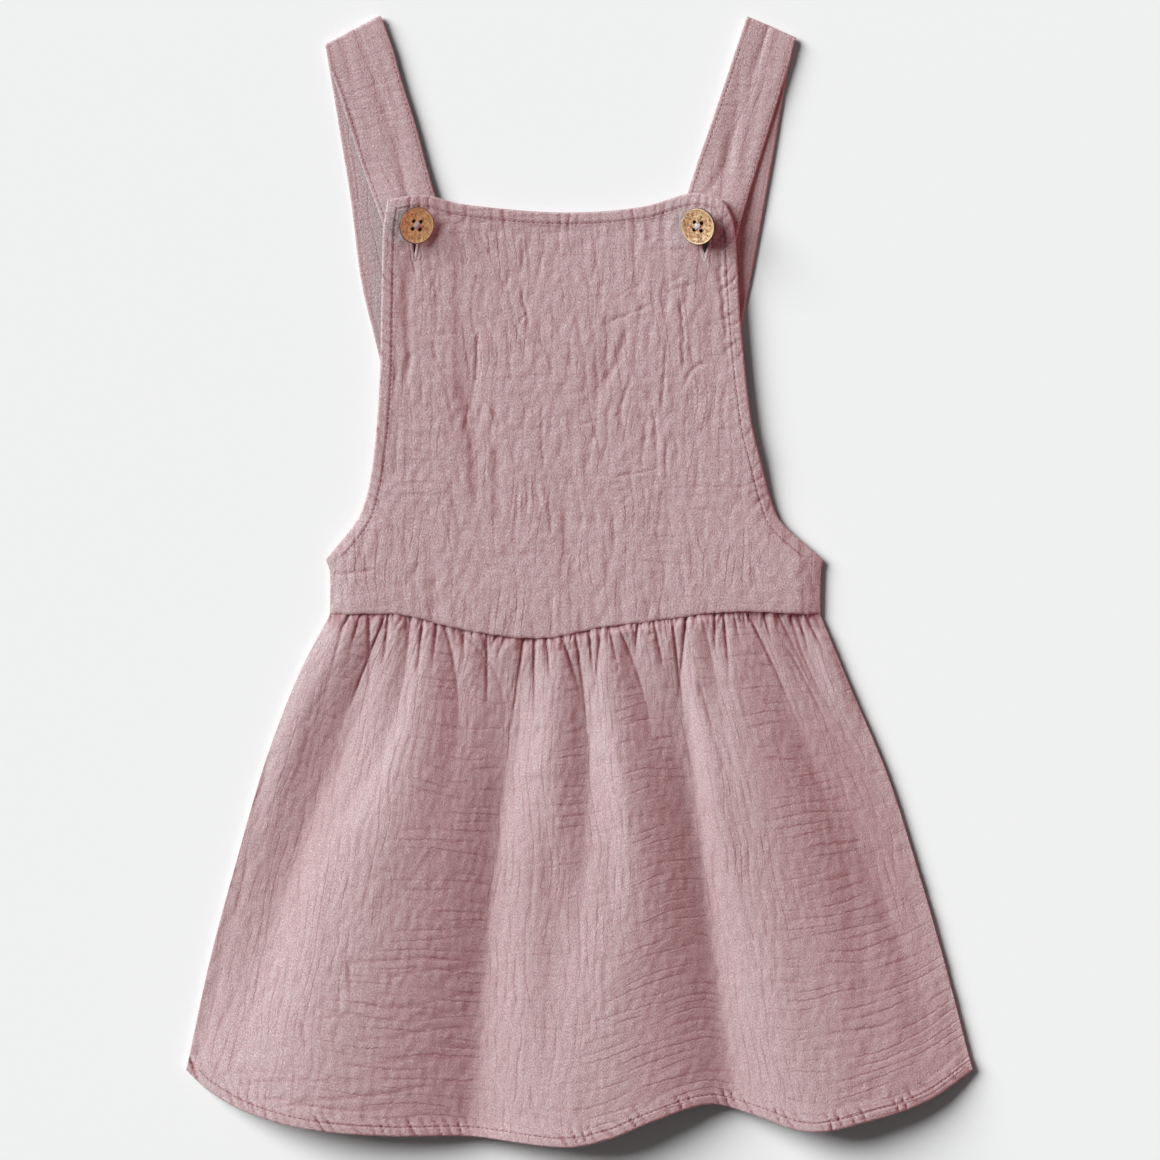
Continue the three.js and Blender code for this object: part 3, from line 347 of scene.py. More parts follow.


# %% [markdown]
# ## Wrinkles placed one by one
# Where the cloth has been pulled, folded or sat on, sharper wrinkles run over the crinkle. Each one
# here is a short path with a depth and a width, and a faint lip beside it, and its course is shaken
# a little so that it looks torn from the crinkle and not drawn. They could be sculpted, but a table
# can be read and changed. All of them taper off at both ends.

# %% Wrinkles placed one by one
WRINKLE_COLUMNS = ("path", "deep", "wide")
BIB_WRINKLES = table(
    WRINKLE_COLUMNS,
    ([(-30.5, 160), (-30.5, 150), (-28, 142), (-27, 131)], 0.6, 1),
    ([(-27.5, 144), (-33, 138.5)], 0.5, 0.9),
    ([(-21.5, 141), (-21, 128), (-17, 122), (-14, 110)], 0.5, 0.9),
    ([(-20, 96), (-20.3, 72), (-18.8, 57)], 0.6, 1),
    ([(-54.5, 136), (-55.5, 120), (-56, 104)], 0.7, 1.1),
    ([(-77, 172), (-78, 160), (-77, 148)], 0.5, 1.1),
    ([(-51, 99), (-45, 90), (-42, 78)], 0.5, 1.2),
    ([(-72, 104), (-70, 95), (-68, 82)], 0.5, 1.3),
    ([(-54, 188), (-47.5, 175)], 0.4, 0.9),
    ([(-17, 50), (-16, 36), (-15, 22)], 0.5, 1.2),
    ([(-38, 123), (-37, 106)], 0.4, 1.2),
    ([(-80, 130), (-74, 110)], 0.5, 1.1),
    ([(-43, 167), (-40, 153)], 0.4, 0.9),
    ([(-64, 112), (-58, 72), (-56, 36)], 0.7, 3),
    ([(-46, 78), (-43, 26)], 0.6, 2.5),
    ([(-31, 186), (-31, 168)], 0.4, 1),
    ([(-93, 172), (-93.5, 148), (-92, 120), (-96, 100)], 0.7, 2.4),
    ([(13, 138), (27, 143.5), (41, 149)], 0.5, 0.9),
    ([(44, 154.5), (63, 160)], 0.45, 0.8),
    ([(48, 161.5), (59, 164)], 0.4, 0.8),
    ([(33, 183.5), (44, 186)], 0.5, 0.9),
    ([(18, 151), (36, 161.5)], 0.35, 0.8),
    ([(54, 155), (56, 132), (56, 112)], 0.75, 1),
    ([(46.5, 132), (46, 110), (43.5, 90)], 0.65, 1.1),
    ([(28, 112), (24, 98), (19, 84)], 0.5, 1.1),
    ([(27, 138), (20, 118), (10, 101)], 0.8, 2.2),
    ([(-1, 83.5), (7, 85), (13, 88)], 0.45, 0.9),
    ([(18, 55.5), (30, 57.5), (43, 60.5)], 0.55, 0.9),
    ([(17, 51), (24, 53.5)], 0.4, 0.8),
    ([(21, 40), (28, 46)], 0.45, 0.9),
    ([(16.5, 42), (18, 31), (19, 17)], 0.5, 1),
    ([(-5.5, 132), (-4.5, 113)], 0.4, 0.9),
    ([(37, 92), (35, 75), (32.5, 58)], 0.45, 1.4),
    ([(56, 103), (60, 113), (70, 119)], 0.5, 1.1),
    ([(75.5, 186), (76, 165), (78.5, 140), (80, 126)], 0.8, 1.3),
    ([(-135, 2.5), (-122, 4), (-108, 6)], 0.7, 1),
    ([(-108, 38), (-90, 18)], 0.5, 1),
)
SKIRT_WRINKLES = table(
    WRINKLE_COLUMNS,
    ([(-128, -205.5), (-95, -204), (-48, -203.5)], 0.45, 0.9),
    ([(-108, -214), (-80, -209.5), (-48, -208.5)], 0.4, 0.9),
    ([(-78, -224), (-50, -223.5)], 0.45, 0.9),
    ([(-125, -228), (-97, -229), (-74, -227)], 0.45, 0.9),
    ([(-114, -237.5), (-80, -234), (-50, -230)], 0.4, 0.9),
    ([(-148, -234), (-122, -235.5)], 0.4, 0.9),
    ([(-128, -247.5), (-100, -246), (-80, -241), (-58, -243)], 0.45, 0.9),
    ([(-82, -249.5), (-48, -252.5)], 0.5, 0.9),
    ([(-128, -261.5), (-100, -259), (-68, -254)], 0.45, 0.9),
    ([(-186, -272), (-165, -269), (-140, -269), (-108, -270)], 0.4, 0.9),
    ([(-182, -279), (-140, -279.5), (-110, -277), (-72, -270.5)], 0.55, 1),
    ([(-166, -283.5), (-150, -282), (-122, -285.5), (-78, -282)], 0.5, 1),
    ([(-88, -258.5), (-62, -257)], 0.4, 0.9),
    ([(-192, -265), (-150, -264.5)], 0.3, 0.9),
    ([(-125, -205), (-123, -212), (-124, -222)], 0.6, 1.3),
    ([(-149, -236), (-148, -252)], 0.45, 1),
)
WRINKLE_SHAKE = 0.9


def wrinkles_at(wrinkles, x, y):
    """How far the wrinkles lower the cloth at each point."""
    total = 0 * x
    shaken_x = x + WRINKLE_SHAKE * noise(x / 7, y / 4, 201)
    shaken_y = y + WRINKLE_SHAKE * noise(x / 4, y / 7, 202)
    for wrinkle in wrinkles:
        path, nearest, share = np.array(wrinkle["path"], float), 1e3 + 0 * x, 0 * x
        for k, ((ax, ay), (bx, by)) in enumerate(zip(path, path[1:])):
            along = (shaken_x - ax) * (bx - ax) + (shaken_y - ay) * (by - ay)
            t = np.clip(along / ((bx - ax) ** 2 + (by - ay) ** 2), 0, 1)
            away = np.hypot(shaken_x - mix(ax, bx, t), shaken_y - mix(ay, by, t))
            share = np.where(away < nearest, (k + t) / (len(path) - 1), share)
            nearest = np.minimum(nearest, away)
        fade = smooth(5 * share) * smooth(5 * (1 - share))
        apart = (nearest / wrinkle["wide"]) ** 2
        total = total + wrinkle["deep"] * fade * (1 - 0.6 * apart) * np.exp(-0.7 * apart)
    return total


print(len(BIB_WRINKLES) + len(SKIRT_WRINKLES), "wrinkles placed by hand")

# %% [markdown]
# ## One way to make every panel
# A panel is a thin closed box: a grid, extruded once for its thickness. Only the side that is seen
# needs a fine mesh, so the faces of that side alone are subdivided, and the other side stays
# coarse. Solidify would double the fine faces for nothing. The grid starts as a unit square, and a
# shape function then moves each vertex to its place, so the same grid makes a bib or a skirt.

# %% Panel maker
def unit_wall(columns, rows, finer):
    """A closed wall one unit wide, long and thick, with its upper side divided more finely."""
    bm = bmesh.new()
    bmesh.ops.create_grid(bm, x_segments=columns, y_segments=rows, size=0.5)
    bottom = list(bm.faces)
    made = bmesh.ops.extrude_face_region(bm, geom=bottom, use_keep_orig=True)["geom"]
    lifted = [e for e in made if isinstance(e, bmesh.types.BMVert)]
    bmesh.ops.translate(bm, verts=lifted, vec=(0, 0, 1))
    top = [f for f in bm.faces if all(v.co.z > 0.5 for v in f.verts)]
    if finer > 1:
        edges = list({e for f in top for e in f.edges})
        bmesh.ops.subdivide_edges(bm, edges=edges, cuts=finer - 1, use_grid_fill=True)
    bmesh.ops.recalc_face_normals(bm, faces=list(bm.faces))
    return bm


def mesh_from(name, bm):
    """Write a bmesh out as a new mesh, and let go of it."""
    mesh = bpy.data.meshes.new(name)
    bm.to_mesh(mesh)
    bm.free()
    return mesh


def set_points(mesh, points):
    mesh.vertices.foreach_set("co", np.ascontiguousarray(points, dtype=np.float32).ravel())
    mesh.update()


def get_points(mesh):
    points = np.empty(len(mesh.vertices) * 3, np.float32)
    mesh.vertices.foreach_get("co", points)
    return points.reshape(-1, 3).astype(float)


def add_object(name, mesh, material, smooth_angle=50):
    """A piece in the scene, smooth but for edges sharper than the angle."""
    mesh.materials.append(material)
    mesh.shade_smooth()
    mesh.set_sharp_from_angle(angle=math.radians(smooth_angle))
    piece = bpy.data.objects.new(name, mesh)
    bpy.context.scene.collection.objects.link(piece)
    return piece


def cloth_panel(name, columns, rows, finer, shape, material):
    """Make a panel. shape takes u, v and which points are on the fine side, and gives each point's
    place, the place on the flat cloth, its share of painted shade, and how far its creases run across."""
    mesh = mesh_from(name, unit_wall(columns, rows, finer))
    flat = get_points(mesh)
    low, high = flat.min(axis=0), flat.max(axis=0)
    u = (flat[:, 0] - low[0]) / (high[0] - low[0])
    v = (high[1] - flat[:, 1]) / (high[1] - low[1])
    points, grain, fold, turned = shape(u, v, flat[:, 2] > 0.5)
    set_points(mesh, points * MM)
    corners = np.empty(len(mesh.loops), int)
    mesh.loops.foreach_get("vertex_index", corners)
    layer = mesh.uv_layers.new(name="grain")
    layer.data.foreach_set("uv", (grain[corners] * MM).astype(np.float32).ravel())
    # The fold attribute holds each point's share of painted shade.
    mesh.attributes.new("fold", "FLOAT", "POINT").data.foreach_set("value", fold.astype(np.float32))
    mesh.attributes.new("across", "FLOAT", "POINT").data.foreach_set("value", turned.astype(np.float32))
    if points_inside_out(mesh):
        mesh.flip_normals()
    piece = add_object(name, mesh, material)
    print(name, len(mesh.vertices), "points")
    return piece


def points_inside_out(mesh):
    """True where a closed mesh's faces point inwards, told by the sign of its volume."""
    mesh.calc_loop_triangles()
    corners = np.empty(len(mesh.loop_triangles) * 3, int)
    mesh.loop_triangles.foreach_get("vertices", corners)
    a, b, c = get_points(mesh)[corners.reshape(-1, 3)].transpose(1, 0, 2)
    return (a * np.cross(b, c)).sum() < 0


def banded(u, count, first, last):
    """Keep the first and last of count grid lines near the edges, at the given shares of the width."""
    return np.interp(u, [0, 1 / count, 1 - 1 / count, 1], [0, first, 1 - last, 1])


def crowded(t, lines, shares):
    """Draw grid lines together near both ends: the first and last lines (a share of all) cover shares."""
    return np.interp(t, [0, lines[0], 1 - lines[1], 1], [0, shares[0], 1 - shares[1], 1])


def rounded(distance, radius=0.7):
    """How far an edge's upper corner drops, at a distance from the edge, to round it over."""
    t = np.clip(1 - distance / radius, 0, 1)
    return radius * (1 - np.sqrt(1 - t * t))


def patch(upper, lower, left, right, u, v):
    """A point of a four-sided patch, blended from its edges. Each edge gives x and y."""
    def corner(edge, t):
        return np.array(edge(np.array(t)), float)

    points = []
    tops, lows, lefts, rights = upper(u), lower(u), left(v), right(v)
    for axis in (0, 1):
        blend = mix(mix(corner(left, 0.0)[axis], corner(right, 0.0)[axis], u),
                    mix(corner(left, 1.0)[axis], corner(right, 1.0)[axis], u), v)
        points.append(mix(tops[axis], lows[axis], v) + mix(lefts[axis], rights[axis], u) - blend)
    return points


test_wall = unit_wall(4, 3, 2)
print("a wall of 4 by 3 faces, finer by 2 on top, has", len(test_wall.faces), "faces")
test_wall.free()

# %% [markdown]
# ## Cloth colour and weave
# The cloth is a dusty pink with paler and greyer threads in it. Cotton scatters light in its loose
# surface, so it is rough, with a little sheen from the fibres. The hollows of deep folds, the creases
# and the seams take a deeper red as painted shade, which stands for the light that reaches them
# through and off the pink cloth. The weave is two sets of threads that pass over and under each
# other: a checked pattern of two waves. Over it lie creases and a crepe grain too fine for the mesh.
# It is a node group, because the cloths of the skirt, the bodice and the straps need it with other
# values, and it could be painted only for one of them.

# %% Node helpers
def new_group(name, inputs, outputs):
    """A shader node group with named sockets. inputs maps a name to its default value."""
    group = bpy.data.node_groups.new(name, "ShaderNodeTree")
    for title, value in inputs.items():
        kind = {float: "NodeSocketFloat", tuple: "NodeSocketColor", str: "NodeSocketVector"}[type(value)]
        socket = group.interface.new_socket(title, in_out="INPUT", socket_type=kind)
        if kind != "NodeSocketVector":
            socket.default_value = value
    for title, kind in outputs.items():
        group.interface.new_socket(title, in_out="OUTPUT", socket_type=kind)
    return group, group.nodes.new("NodeGroupInput"), group.nodes.new("NodeGroupOutput")


def link(tree, source, target):
    tree.links.new(source, target)


def new_material(name, sockets):
    """A material, its tree and its shader, with the shader's constant sockets set."""
    material = bpy.data.materials.new(name)
    material.use_nodes = True
    shader = material.node_tree.nodes["Principled BSDF"]
    for title, value in sockets.items():
        shader.inputs[title].default_value = value
    return material, material.node_tree, shader


def use_group(tree, group, sockets):
    """A node group placed in a material, with this material's values."""
    node = tree.nodes.new("ShaderNodeGroup")
    node.node_tree = group
    for title, value in sockets.items():
        node.inputs[title].default_value = value
    return node


def use_attribute(tree, name):
    """A value that the mesh holds at each point."""
    node = tree.nodes.new("ShaderNodeAttribute")
    node.attribute_name = name
    return node.outputs["Fac"]


def add_bump(tree, shader, height, distance, invert=False):
    """Tilt the shader's normal by a height, one unit of which is the distance."""
    bump = tree.nodes.new("ShaderNodeBump")
    bump.inputs["Distance"].default_value = distance
    bump.invert = invert
    link(tree, height, bump.inputs["Height"])
    link(tree, bump.outputs["Normal"], shader.inputs["Normal"])


def math_node(tree, operation, a, b=None, c=None, clamp=False):
    """One sum of two or three numbers or sockets."""
    node = tree.nodes.new("ShaderNodeMath")
    node.operation = operation
    node.use_clamp = clamp
    for socket, value in zip(node.inputs, (a, b, c)):
        if value is None:
            continue
        if isinstance(value, (int, float)):
            socket.default_value = value
        else:
            link(tree, value, socket)
    return node.outputs[0]


def noise_node(tree, vector, scale, detail=2.0, roughness=0.5, stretch=(1, 1, 1)):
    """A noise of about 0.5, on average, over a vector that is stretched first."""
    mapping = tree.nodes.new("ShaderNodeMapping")
    mapping.inputs["Scale"].default_value = stretch
    link(tree, vector, mapping.inputs["Vector"])
    node = tree.nodes.new("ShaderNodeTexNoise")
    node.inputs["Scale"].default_value = scale
    node.inputs["Detail"].default_value = detail
    node.inputs["Roughness"].default_value = roughness
    link(tree, mapping.outputs["Vector"], node.inputs["Vector"])
    return node.outputs["Fac"]


def mix_colour(tree, share, a, b):
    """Colour a where the share is 0, and b where it is 1."""
    node = tree.nodes.new("ShaderNodeMix")
    node.data_type = "RGBA"
    node.clamp_factor = True
    for socket, value in ((node.inputs["Factor"], share), (node.inputs["A"], a), (node.inputs["B"], b)):
        if isinstance(value, (int, float, tuple)):
            socket.default_value = value
        else:
            link(tree, value, socket)
    return node.outputs["Result"]


def ramp(tree, value, low, high):
    """0 at low, 1 at high, and a smooth step between them."""
    node = tree.nodes.new("ShaderNodeMapRange")
    node.interpolation_type = "SMOOTHSTEP"
    node.inputs["From Min"].default_value = low
    node.inputs["From Max"].default_value = high
    link(tree, value, node.inputs["Value"])
    return node.outputs["Result"]


def thin_lines(tree, value, width):
    """1 along the lines where a noise passes its middle, falling to 0 beside them."""
    away = math_node(tree, "ABSOLUTE", math_node(tree, "SUBTRACT", value, 0.5))
    return ramp(tree, away, width, 0.0)


def swaying_lines(tree, place, axis, pitch, sway, stretch, width=0.62):
    """1 along evenly spaced lines that sway with a slow noise, falling to 0 beside them."""
    split = tree.nodes.new("ShaderNodeSeparateXYZ")
    link(tree, place, split.inputs["Vector"])
    bend = math_node(tree, "MULTIPLY", noise_node(tree, place, 1.0, detail=1.0, stretch=stretch), sway)
    turns = math_node(tree, "MULTIPLY_ADD", split.outputs[axis], 1 / pitch, bend)
    wave = math_node(tree, "SINE", math_node(tree, "MULTIPLY", turns, math.pi))
    return ramp(tree, math_node(tree, "ABSOLUTE", wave), width, 0.0)


# %% Gauze group
def make_gauze_group():
    """The cloth's finest relief, in millimetres, with a mask of its creases for painted shade and one of its
    paler fibres.
    """
    group, inside, outside = new_group(
        "Gauze", {"Grain": "", "Thread pitch": 0.55, "Creases": 0.3, "Crossings": 0.25, "Across": 0.3,
                  "Crepe": 0.1},
        {"Height": "NodeSocketFloat", "Shaded creases": "NodeSocketFloat", "Fibres": "NodeSocketFloat"})

    def times(a, b):
        return math_node(group, "MULTIPLY", a, b)

    def patches(stretch, low, high):
        """1 in the parts of the cloth where one kind of crease shows."""
        return ramp(group, noise_node(group, place, 1.0, detail=1.0, stretch=stretch), low, high)

    to_mm = group.nodes.new("ShaderNodeVectorMath")
    to_mm.operation = "SCALE"
    to_mm.inputs["Scale"].default_value = 1 / MM
    link(group, inside.outputs["Grain"], to_mm.inputs[0])
    place = to_mm.outputs["Vector"]
    shake = group.nodes.new("ShaderNodeTexNoise")
    shake.inputs["Scale"].default_value = 0.5
    shake.inputs["Detail"].default_value = 2.0
    link(group, place, shake.inputs["Vector"])
    jag = group.nodes.new("ShaderNodeVectorMath")
    jag.operation = "MULTIPLY_ADD"
    jag.inputs[1].default_value = (2.6, 2.6, 0)
    link(group, shake.outputs["Color"], jag.inputs[0])
    link(group, place, jag.inputs[2])
    jagged = jag.outputs["Vector"]

    down = swaying_lines(group, jagged, "X", pitch=5.8, sway=3.2, stretch=(1 / 22, 1 / 50, 1))
    finer = thin_lines(group, noise_node(group, jagged, 1.0, detail=0.0, stretch=(1 / 3.6, 1 / 18, 1)), 0.13)
    across = swaying_lines(group, jagged, "Y", pitch=5.6, sway=2.6, stretch=(1 / 60, 1 / 24, 1))
    down = times(down, patches((1 / 11, 1 / 30, 1), 0.38, 0.6))
    finer = times(times(finer, patches((1 / 7, 1 / 15, 2), 0.4, 0.66)), 0.45)
    across = times(times(across, patches((1 / 36, 1 / 7, 3), 0.38, 0.58)), inside.outputs["Across"])
    downwards = math_node(group, "SUBTRACT", 1.0, inside.outputs["Across"], clamp=True)
    both = times(math_node(group, "ADD", down, finer), downwards)

    split = group.nodes.new("ShaderNodeSeparateXYZ")
    link(group, place, split.inputs["Vector"])
    waves = []
    for axis in ("X", "Y"):
        turns = math_node(group, "DIVIDE", split.outputs[axis], inside.outputs["Thread pitch"])
        waves.append(math_node(group, "SINE", times(turns, math.pi)))
    weave = times(*waves)
    crepe = noise_node(group, jagged, 1.25, detail=2.5, roughness=0.7, stretch=(1, 0.75, 1))
    height = times(crepe, times(inside.outputs["Crepe"], 4.0))
    height = math_node(group, "MULTIPLY_ADD", weave, 0.02, height)
    height = math_node(group, "SUBTRACT", height, times(both, inside.outputs["Creases"]))
    height = math_node(group, "SUBTRACT", height, times(across, inside.outputs["Crossings"]))
    link(group, height, outside.inputs["Height"])
    # The creases' mask goes out to say where the material paints shade into the colour.
    link(group, math_node(group, "ADD", both, across, clamp=True), outside.inputs["Shaded creases"])
    fibres = noise_node(group, jagged, 1.4, detail=3.0, roughness=0.8, stretch=(1, 0.8, 1))
    link(group, ramp(group, fibres, 0.4, 0.6), outside.inputs["Fibres"])
    return group


GAUZE = make_gauze_group()
print("gauze group:", len(GAUZE.nodes), "nodes")

# %% Cloth materials
CLOTH_PINK = (0.385, 0.245, 0.262, 1)
CLOTH_PALE = (0.56, 0.475, 0.475, 1)
# The deep red below is painted shade, mixed into the hollows, creases, seams and hem grooves.
CLOTH_PAINTED_SHADE = (0.26, 0.075, 0.085, 1)
PAINTED_SHADE_SHARE = 0.24


def cloth_material(name, creases, crossings, crepe):
    """Rough, faintly shining cloth: pale fibres on pink, and painted shade, a deeper red, in the hollows."""
    material, tree, shader = new_material(name, {
        "Roughness": 0.92, "Specular IOR Level": 0.25, "Sheen Weight": 0.2, "Sheen Roughness": 0.5,
        "Sheen Tint": (0.95, 0.82, 0.84, 1)})
    grain = tree.nodes.new("ShaderNodeUVMap")
    grain.uv_map = "grain"
    gauze = use_group(tree, GAUZE, {"Creases": creases, "Crossings": crossings, "Crepe": crepe})
    link(tree, grain.outputs["UV"], gauze.inputs["Grain"])
    link(tree, use_attribute(tree, "across"), gauze.inputs["Across"])
    worn = mix_colour(tree, gauze.outputs["Fibres"], CLOTH_PINK, CLOTH_PALE)
    # The fold attribute and the crease mask say how much painted shade, a deeper red, goes into the colour.
    fold = use_attribute(tree, "fold")
    painted_shade = math_node(tree, "MULTIPLY_ADD", gauze.outputs["Shaded creases"], PAINTED_SHADE_SHARE, fold, clamp=True)
    link(tree, mix_colour(tree, painted_shade, worn, CLOTH_PAINTED_SHADE), shader.inputs["Base Color"])
    add_bump(tree, shader, gauze.outputs["Height"], MM)
    return material


SKIRT_CLOTH = cloth_material("skirt_cloth", creases=0.22, crossings=0.26, crepe=0.11)
BODICE_CLOTH = cloth_material("bodice_cloth", creases=0.24, crossings=0.16, crepe=0.135)
STRAP_CLOTH = cloth_material("strap_cloth", creases=0.22, crossings=0.22, crepe=0.135)
print("cloths:", [m.name for m in bpy.data.materials])

# %% [markdown]
# ## Sewing thread
# Sewing cotton is two or three plies twisted together, so it shows fine slanted ridges, with painted
# shade a little darker in the grooves between them. Real twisted strands would be far too fine to see
# here, so a wave texture tints and tilts a plain grain of thread. The seams' thread is a shade darker
# than the cloth, the straps' matches it, and the buttons' and buttonholes' is paler. The shanks under
# the buttons take the dark seam thread as painted shade, which darkens the holes.

# %% Thread materials
SEAM_THREAD = (0.24, 0.10, 0.11, 1)
STRAP_THREAD = (0.36, 0.21, 0.225, 1)
PALE_THREAD = (0.70, 0.62, 0.61, 1)
WORN_THREAD = (0.52, 0.42, 0.41, 1)


def make_twist_group():
    """Twisted cotton: fine slanted ridges, with painted shade a little darker between them."""
    group, inside, outside = new_group(
        "Twist",
        {"Place": "", "Ridges": 1400.0, "Waver": 1.5, "Colour": PALE_THREAD, "Groove shade": SEAM_THREAD},
        {"Colour": "NodeSocketColor", "Height": "NodeSocketFloat"})
    ridges = group.nodes.new("ShaderNodeTexWave")
    ridges.bands_direction = "DIAGONAL"
    link(group, inside.outputs["Place"], ridges.inputs["Vector"])
    link(group, inside.outputs["Ridges"], ridges.inputs["Scale"])
    link(group, inside.outputs["Waver"], ridges.inputs["Distortion"])
    # The grooves between the ridges take painted shade.
    colour = mix_colour(group, ridges.outputs["Fac"], inside.outputs["Groove shade"], inside.outputs["Colour"])
    link(group, colour, outside.inputs["Colour"])
    link(group, ridges.outputs["Fac"], outside.inputs["Height"])
    return group


TWIST = make_twist_group()


def thread_material(name, colour):
    material, tree, shader = new_material(name, {"Roughness": 0.7, "Sheen Weight": 0.2})
    groove_shade = tuple(0.7 * c for c in colour[:3]) + (1,)
    twist = use_group(tree, TWIST, {"Colour": colour, "Groove shade": groove_shade})
    link(tree, tree.nodes.new("ShaderNodeTexCoord").outputs["Object"], twist.inputs["Place"])
    link(tree, twist.outputs["Colour"], shader.inputs["Base Color"])
    add_bump(tree, shader, twist.outputs["Height"], 0.06 * MM)
    return material


STRAP_COTTON = thread_material("strap_thread", STRAP_THREAD)
SEAM_COTTON = thread_material("seam_thread", SEAM_THREAD)
PALE_COTTON = thread_material("pale_thread", PALE_THREAD)
WORN_COTTON = thread_material("worn_thread", WORN_THREAD)
print("materials:", [m.name for m in bpy.data.materials])

# %% [markdown]
# ## The skirt's front
# This is the piece that makes the dress. Its cloth is wider than it looks, with the grain fanning
# out from the waist, so the flat size is measured along the cloth. The hem is a narrow double turn:
# a band that stands up a little, a stitched groove along its upper edge, and small puckers where
# the needle has drawn the cloth in.

# %% Front skirt
SKIRT_GRID, SKIRT_FINER = (96, 54), 4
SKIRT_FLAT = (460, 288)
SKIRT_SPAN, SKIRT_LONG = 300, 290
EDGE, SHARP_EDGE = 0.8, 0.5
SEAM_TUCKED = 0.25
HEM_STEP, HEM_GROOVE_WIDE, HEM_GROOVE_DEEP = 1.2, 0.7, 0.55
LEAST_WALL = 0.8


def hem_relief(distance, along, width, seed, pitch, pucker, slant=0.6):
    """A turned hem by the distance from the edge: its relief, and its share of painted shade in the groove
    and puckers.
    """
    band = HEM_RISE * (1 - smooth((distance - width) / HEM_STEP))
    groove = np.exp(-(((distance - width + STITCH_INSET) / HEM_GROOVE_WIDE) ** 2))
    near = smooth((distance + 1) / 2) * smooth(1 - (distance - width) / 8)
    sway = 0.7 * noise(along / 17, distance / 30, seed)
    here = np.clip(0.55 + 1.1 * noise(along / 12, distance / 40, seed + 1), 0, 1)
    pinch = near * here * ribs(along + slant * distance, pitch, sway, 0.38)
    relief = band - HEM_GROOVE_DEEP * groove - pucker * (pinch - 0.4 * near) - rounded(distance)
    # The second value is painted shade in the groove and the pinched puckers.
    return relief, 0.25 * groove + 0.5 * pinch * (distance < width + 1)


def seam_wave(x):
    """The waist seam wavers a little between its gathers."""
    return 0.5 * noise(x / 5.5, 0.3 + 0 * x, 19)


def slope_share(line, at, step=0.5):
    """Shortens a distance measured straight across to the true distance from a sloping line."""
    slope = (line(at + step) - line(at - step)) / (2 * step)
    return 1 / np.sqrt(1 + slope * slope)


def pinched_lines(x, y, drop):
    """1 on the pinched line of a gather or the top of a fold, falling to 0 beside it."""
    pinch = 0 * x
    for gather in GATHERS:
        away = np.abs(x - gather["at"] - gather["lean"] * drop)
        line = np.clip(1 - away / 1.1, 0, 1) * smooth(1.2 - drop / gather["long"])
        pinch = np.maximum(pinch, line * min(1, gather["deep"] / 1.8))
    for fold in FOLDS:
        away = np.abs(x - fold_line(fold, y)[0])
        line = np.clip(1 - away / 1.2, 0, 1) * smooth(1.1 - drop / 70)
        begun = smooth((fold["start"][1] - y) / 4 + 1)
        pinch = np.maximum(pinch, line * min(1, max(fold["deep"]) / 5) * begun)
    return pinch


def pin_gathers(x, drop, seed):
    """The small gathers right at the seam, between the larger ones."""
    lines = noise((x + 0.8 * noise(drop / 4, x / 9, seed + 1)) / 4.8, drop / 24, seed)
    return np.exp(-((lines / 0.2) ** 2)) * smooth(1 - drop / 13)


def skirt_patch(hem_marks, hem_line):
    """The four edges of a skirt panel."""
    top, hem_ends = WAIST_SIDE_Y + SEAM_TUCKED, (hem_marks[0][0], hem_marks[-1][0])
    return (
        lambda a: (mix(*WAIST_ENDS, a), waist(mix(*WAIST_ENDS, a)) + SEAM_TUCKED),
        lambda a: (mix(*hem_ends, a), hem_line(mix(*hem_ends, a))),
        lambda a: (skirt_left(mix(top, HEM_SIDE_Y, a)), mix(top, HEM_SIDE_Y, a)),
        lambda a: (skirt_right(mix(top, HEM_SIDE_Y, a)), mix(top, HEM_SIDE_Y, a)),
    )


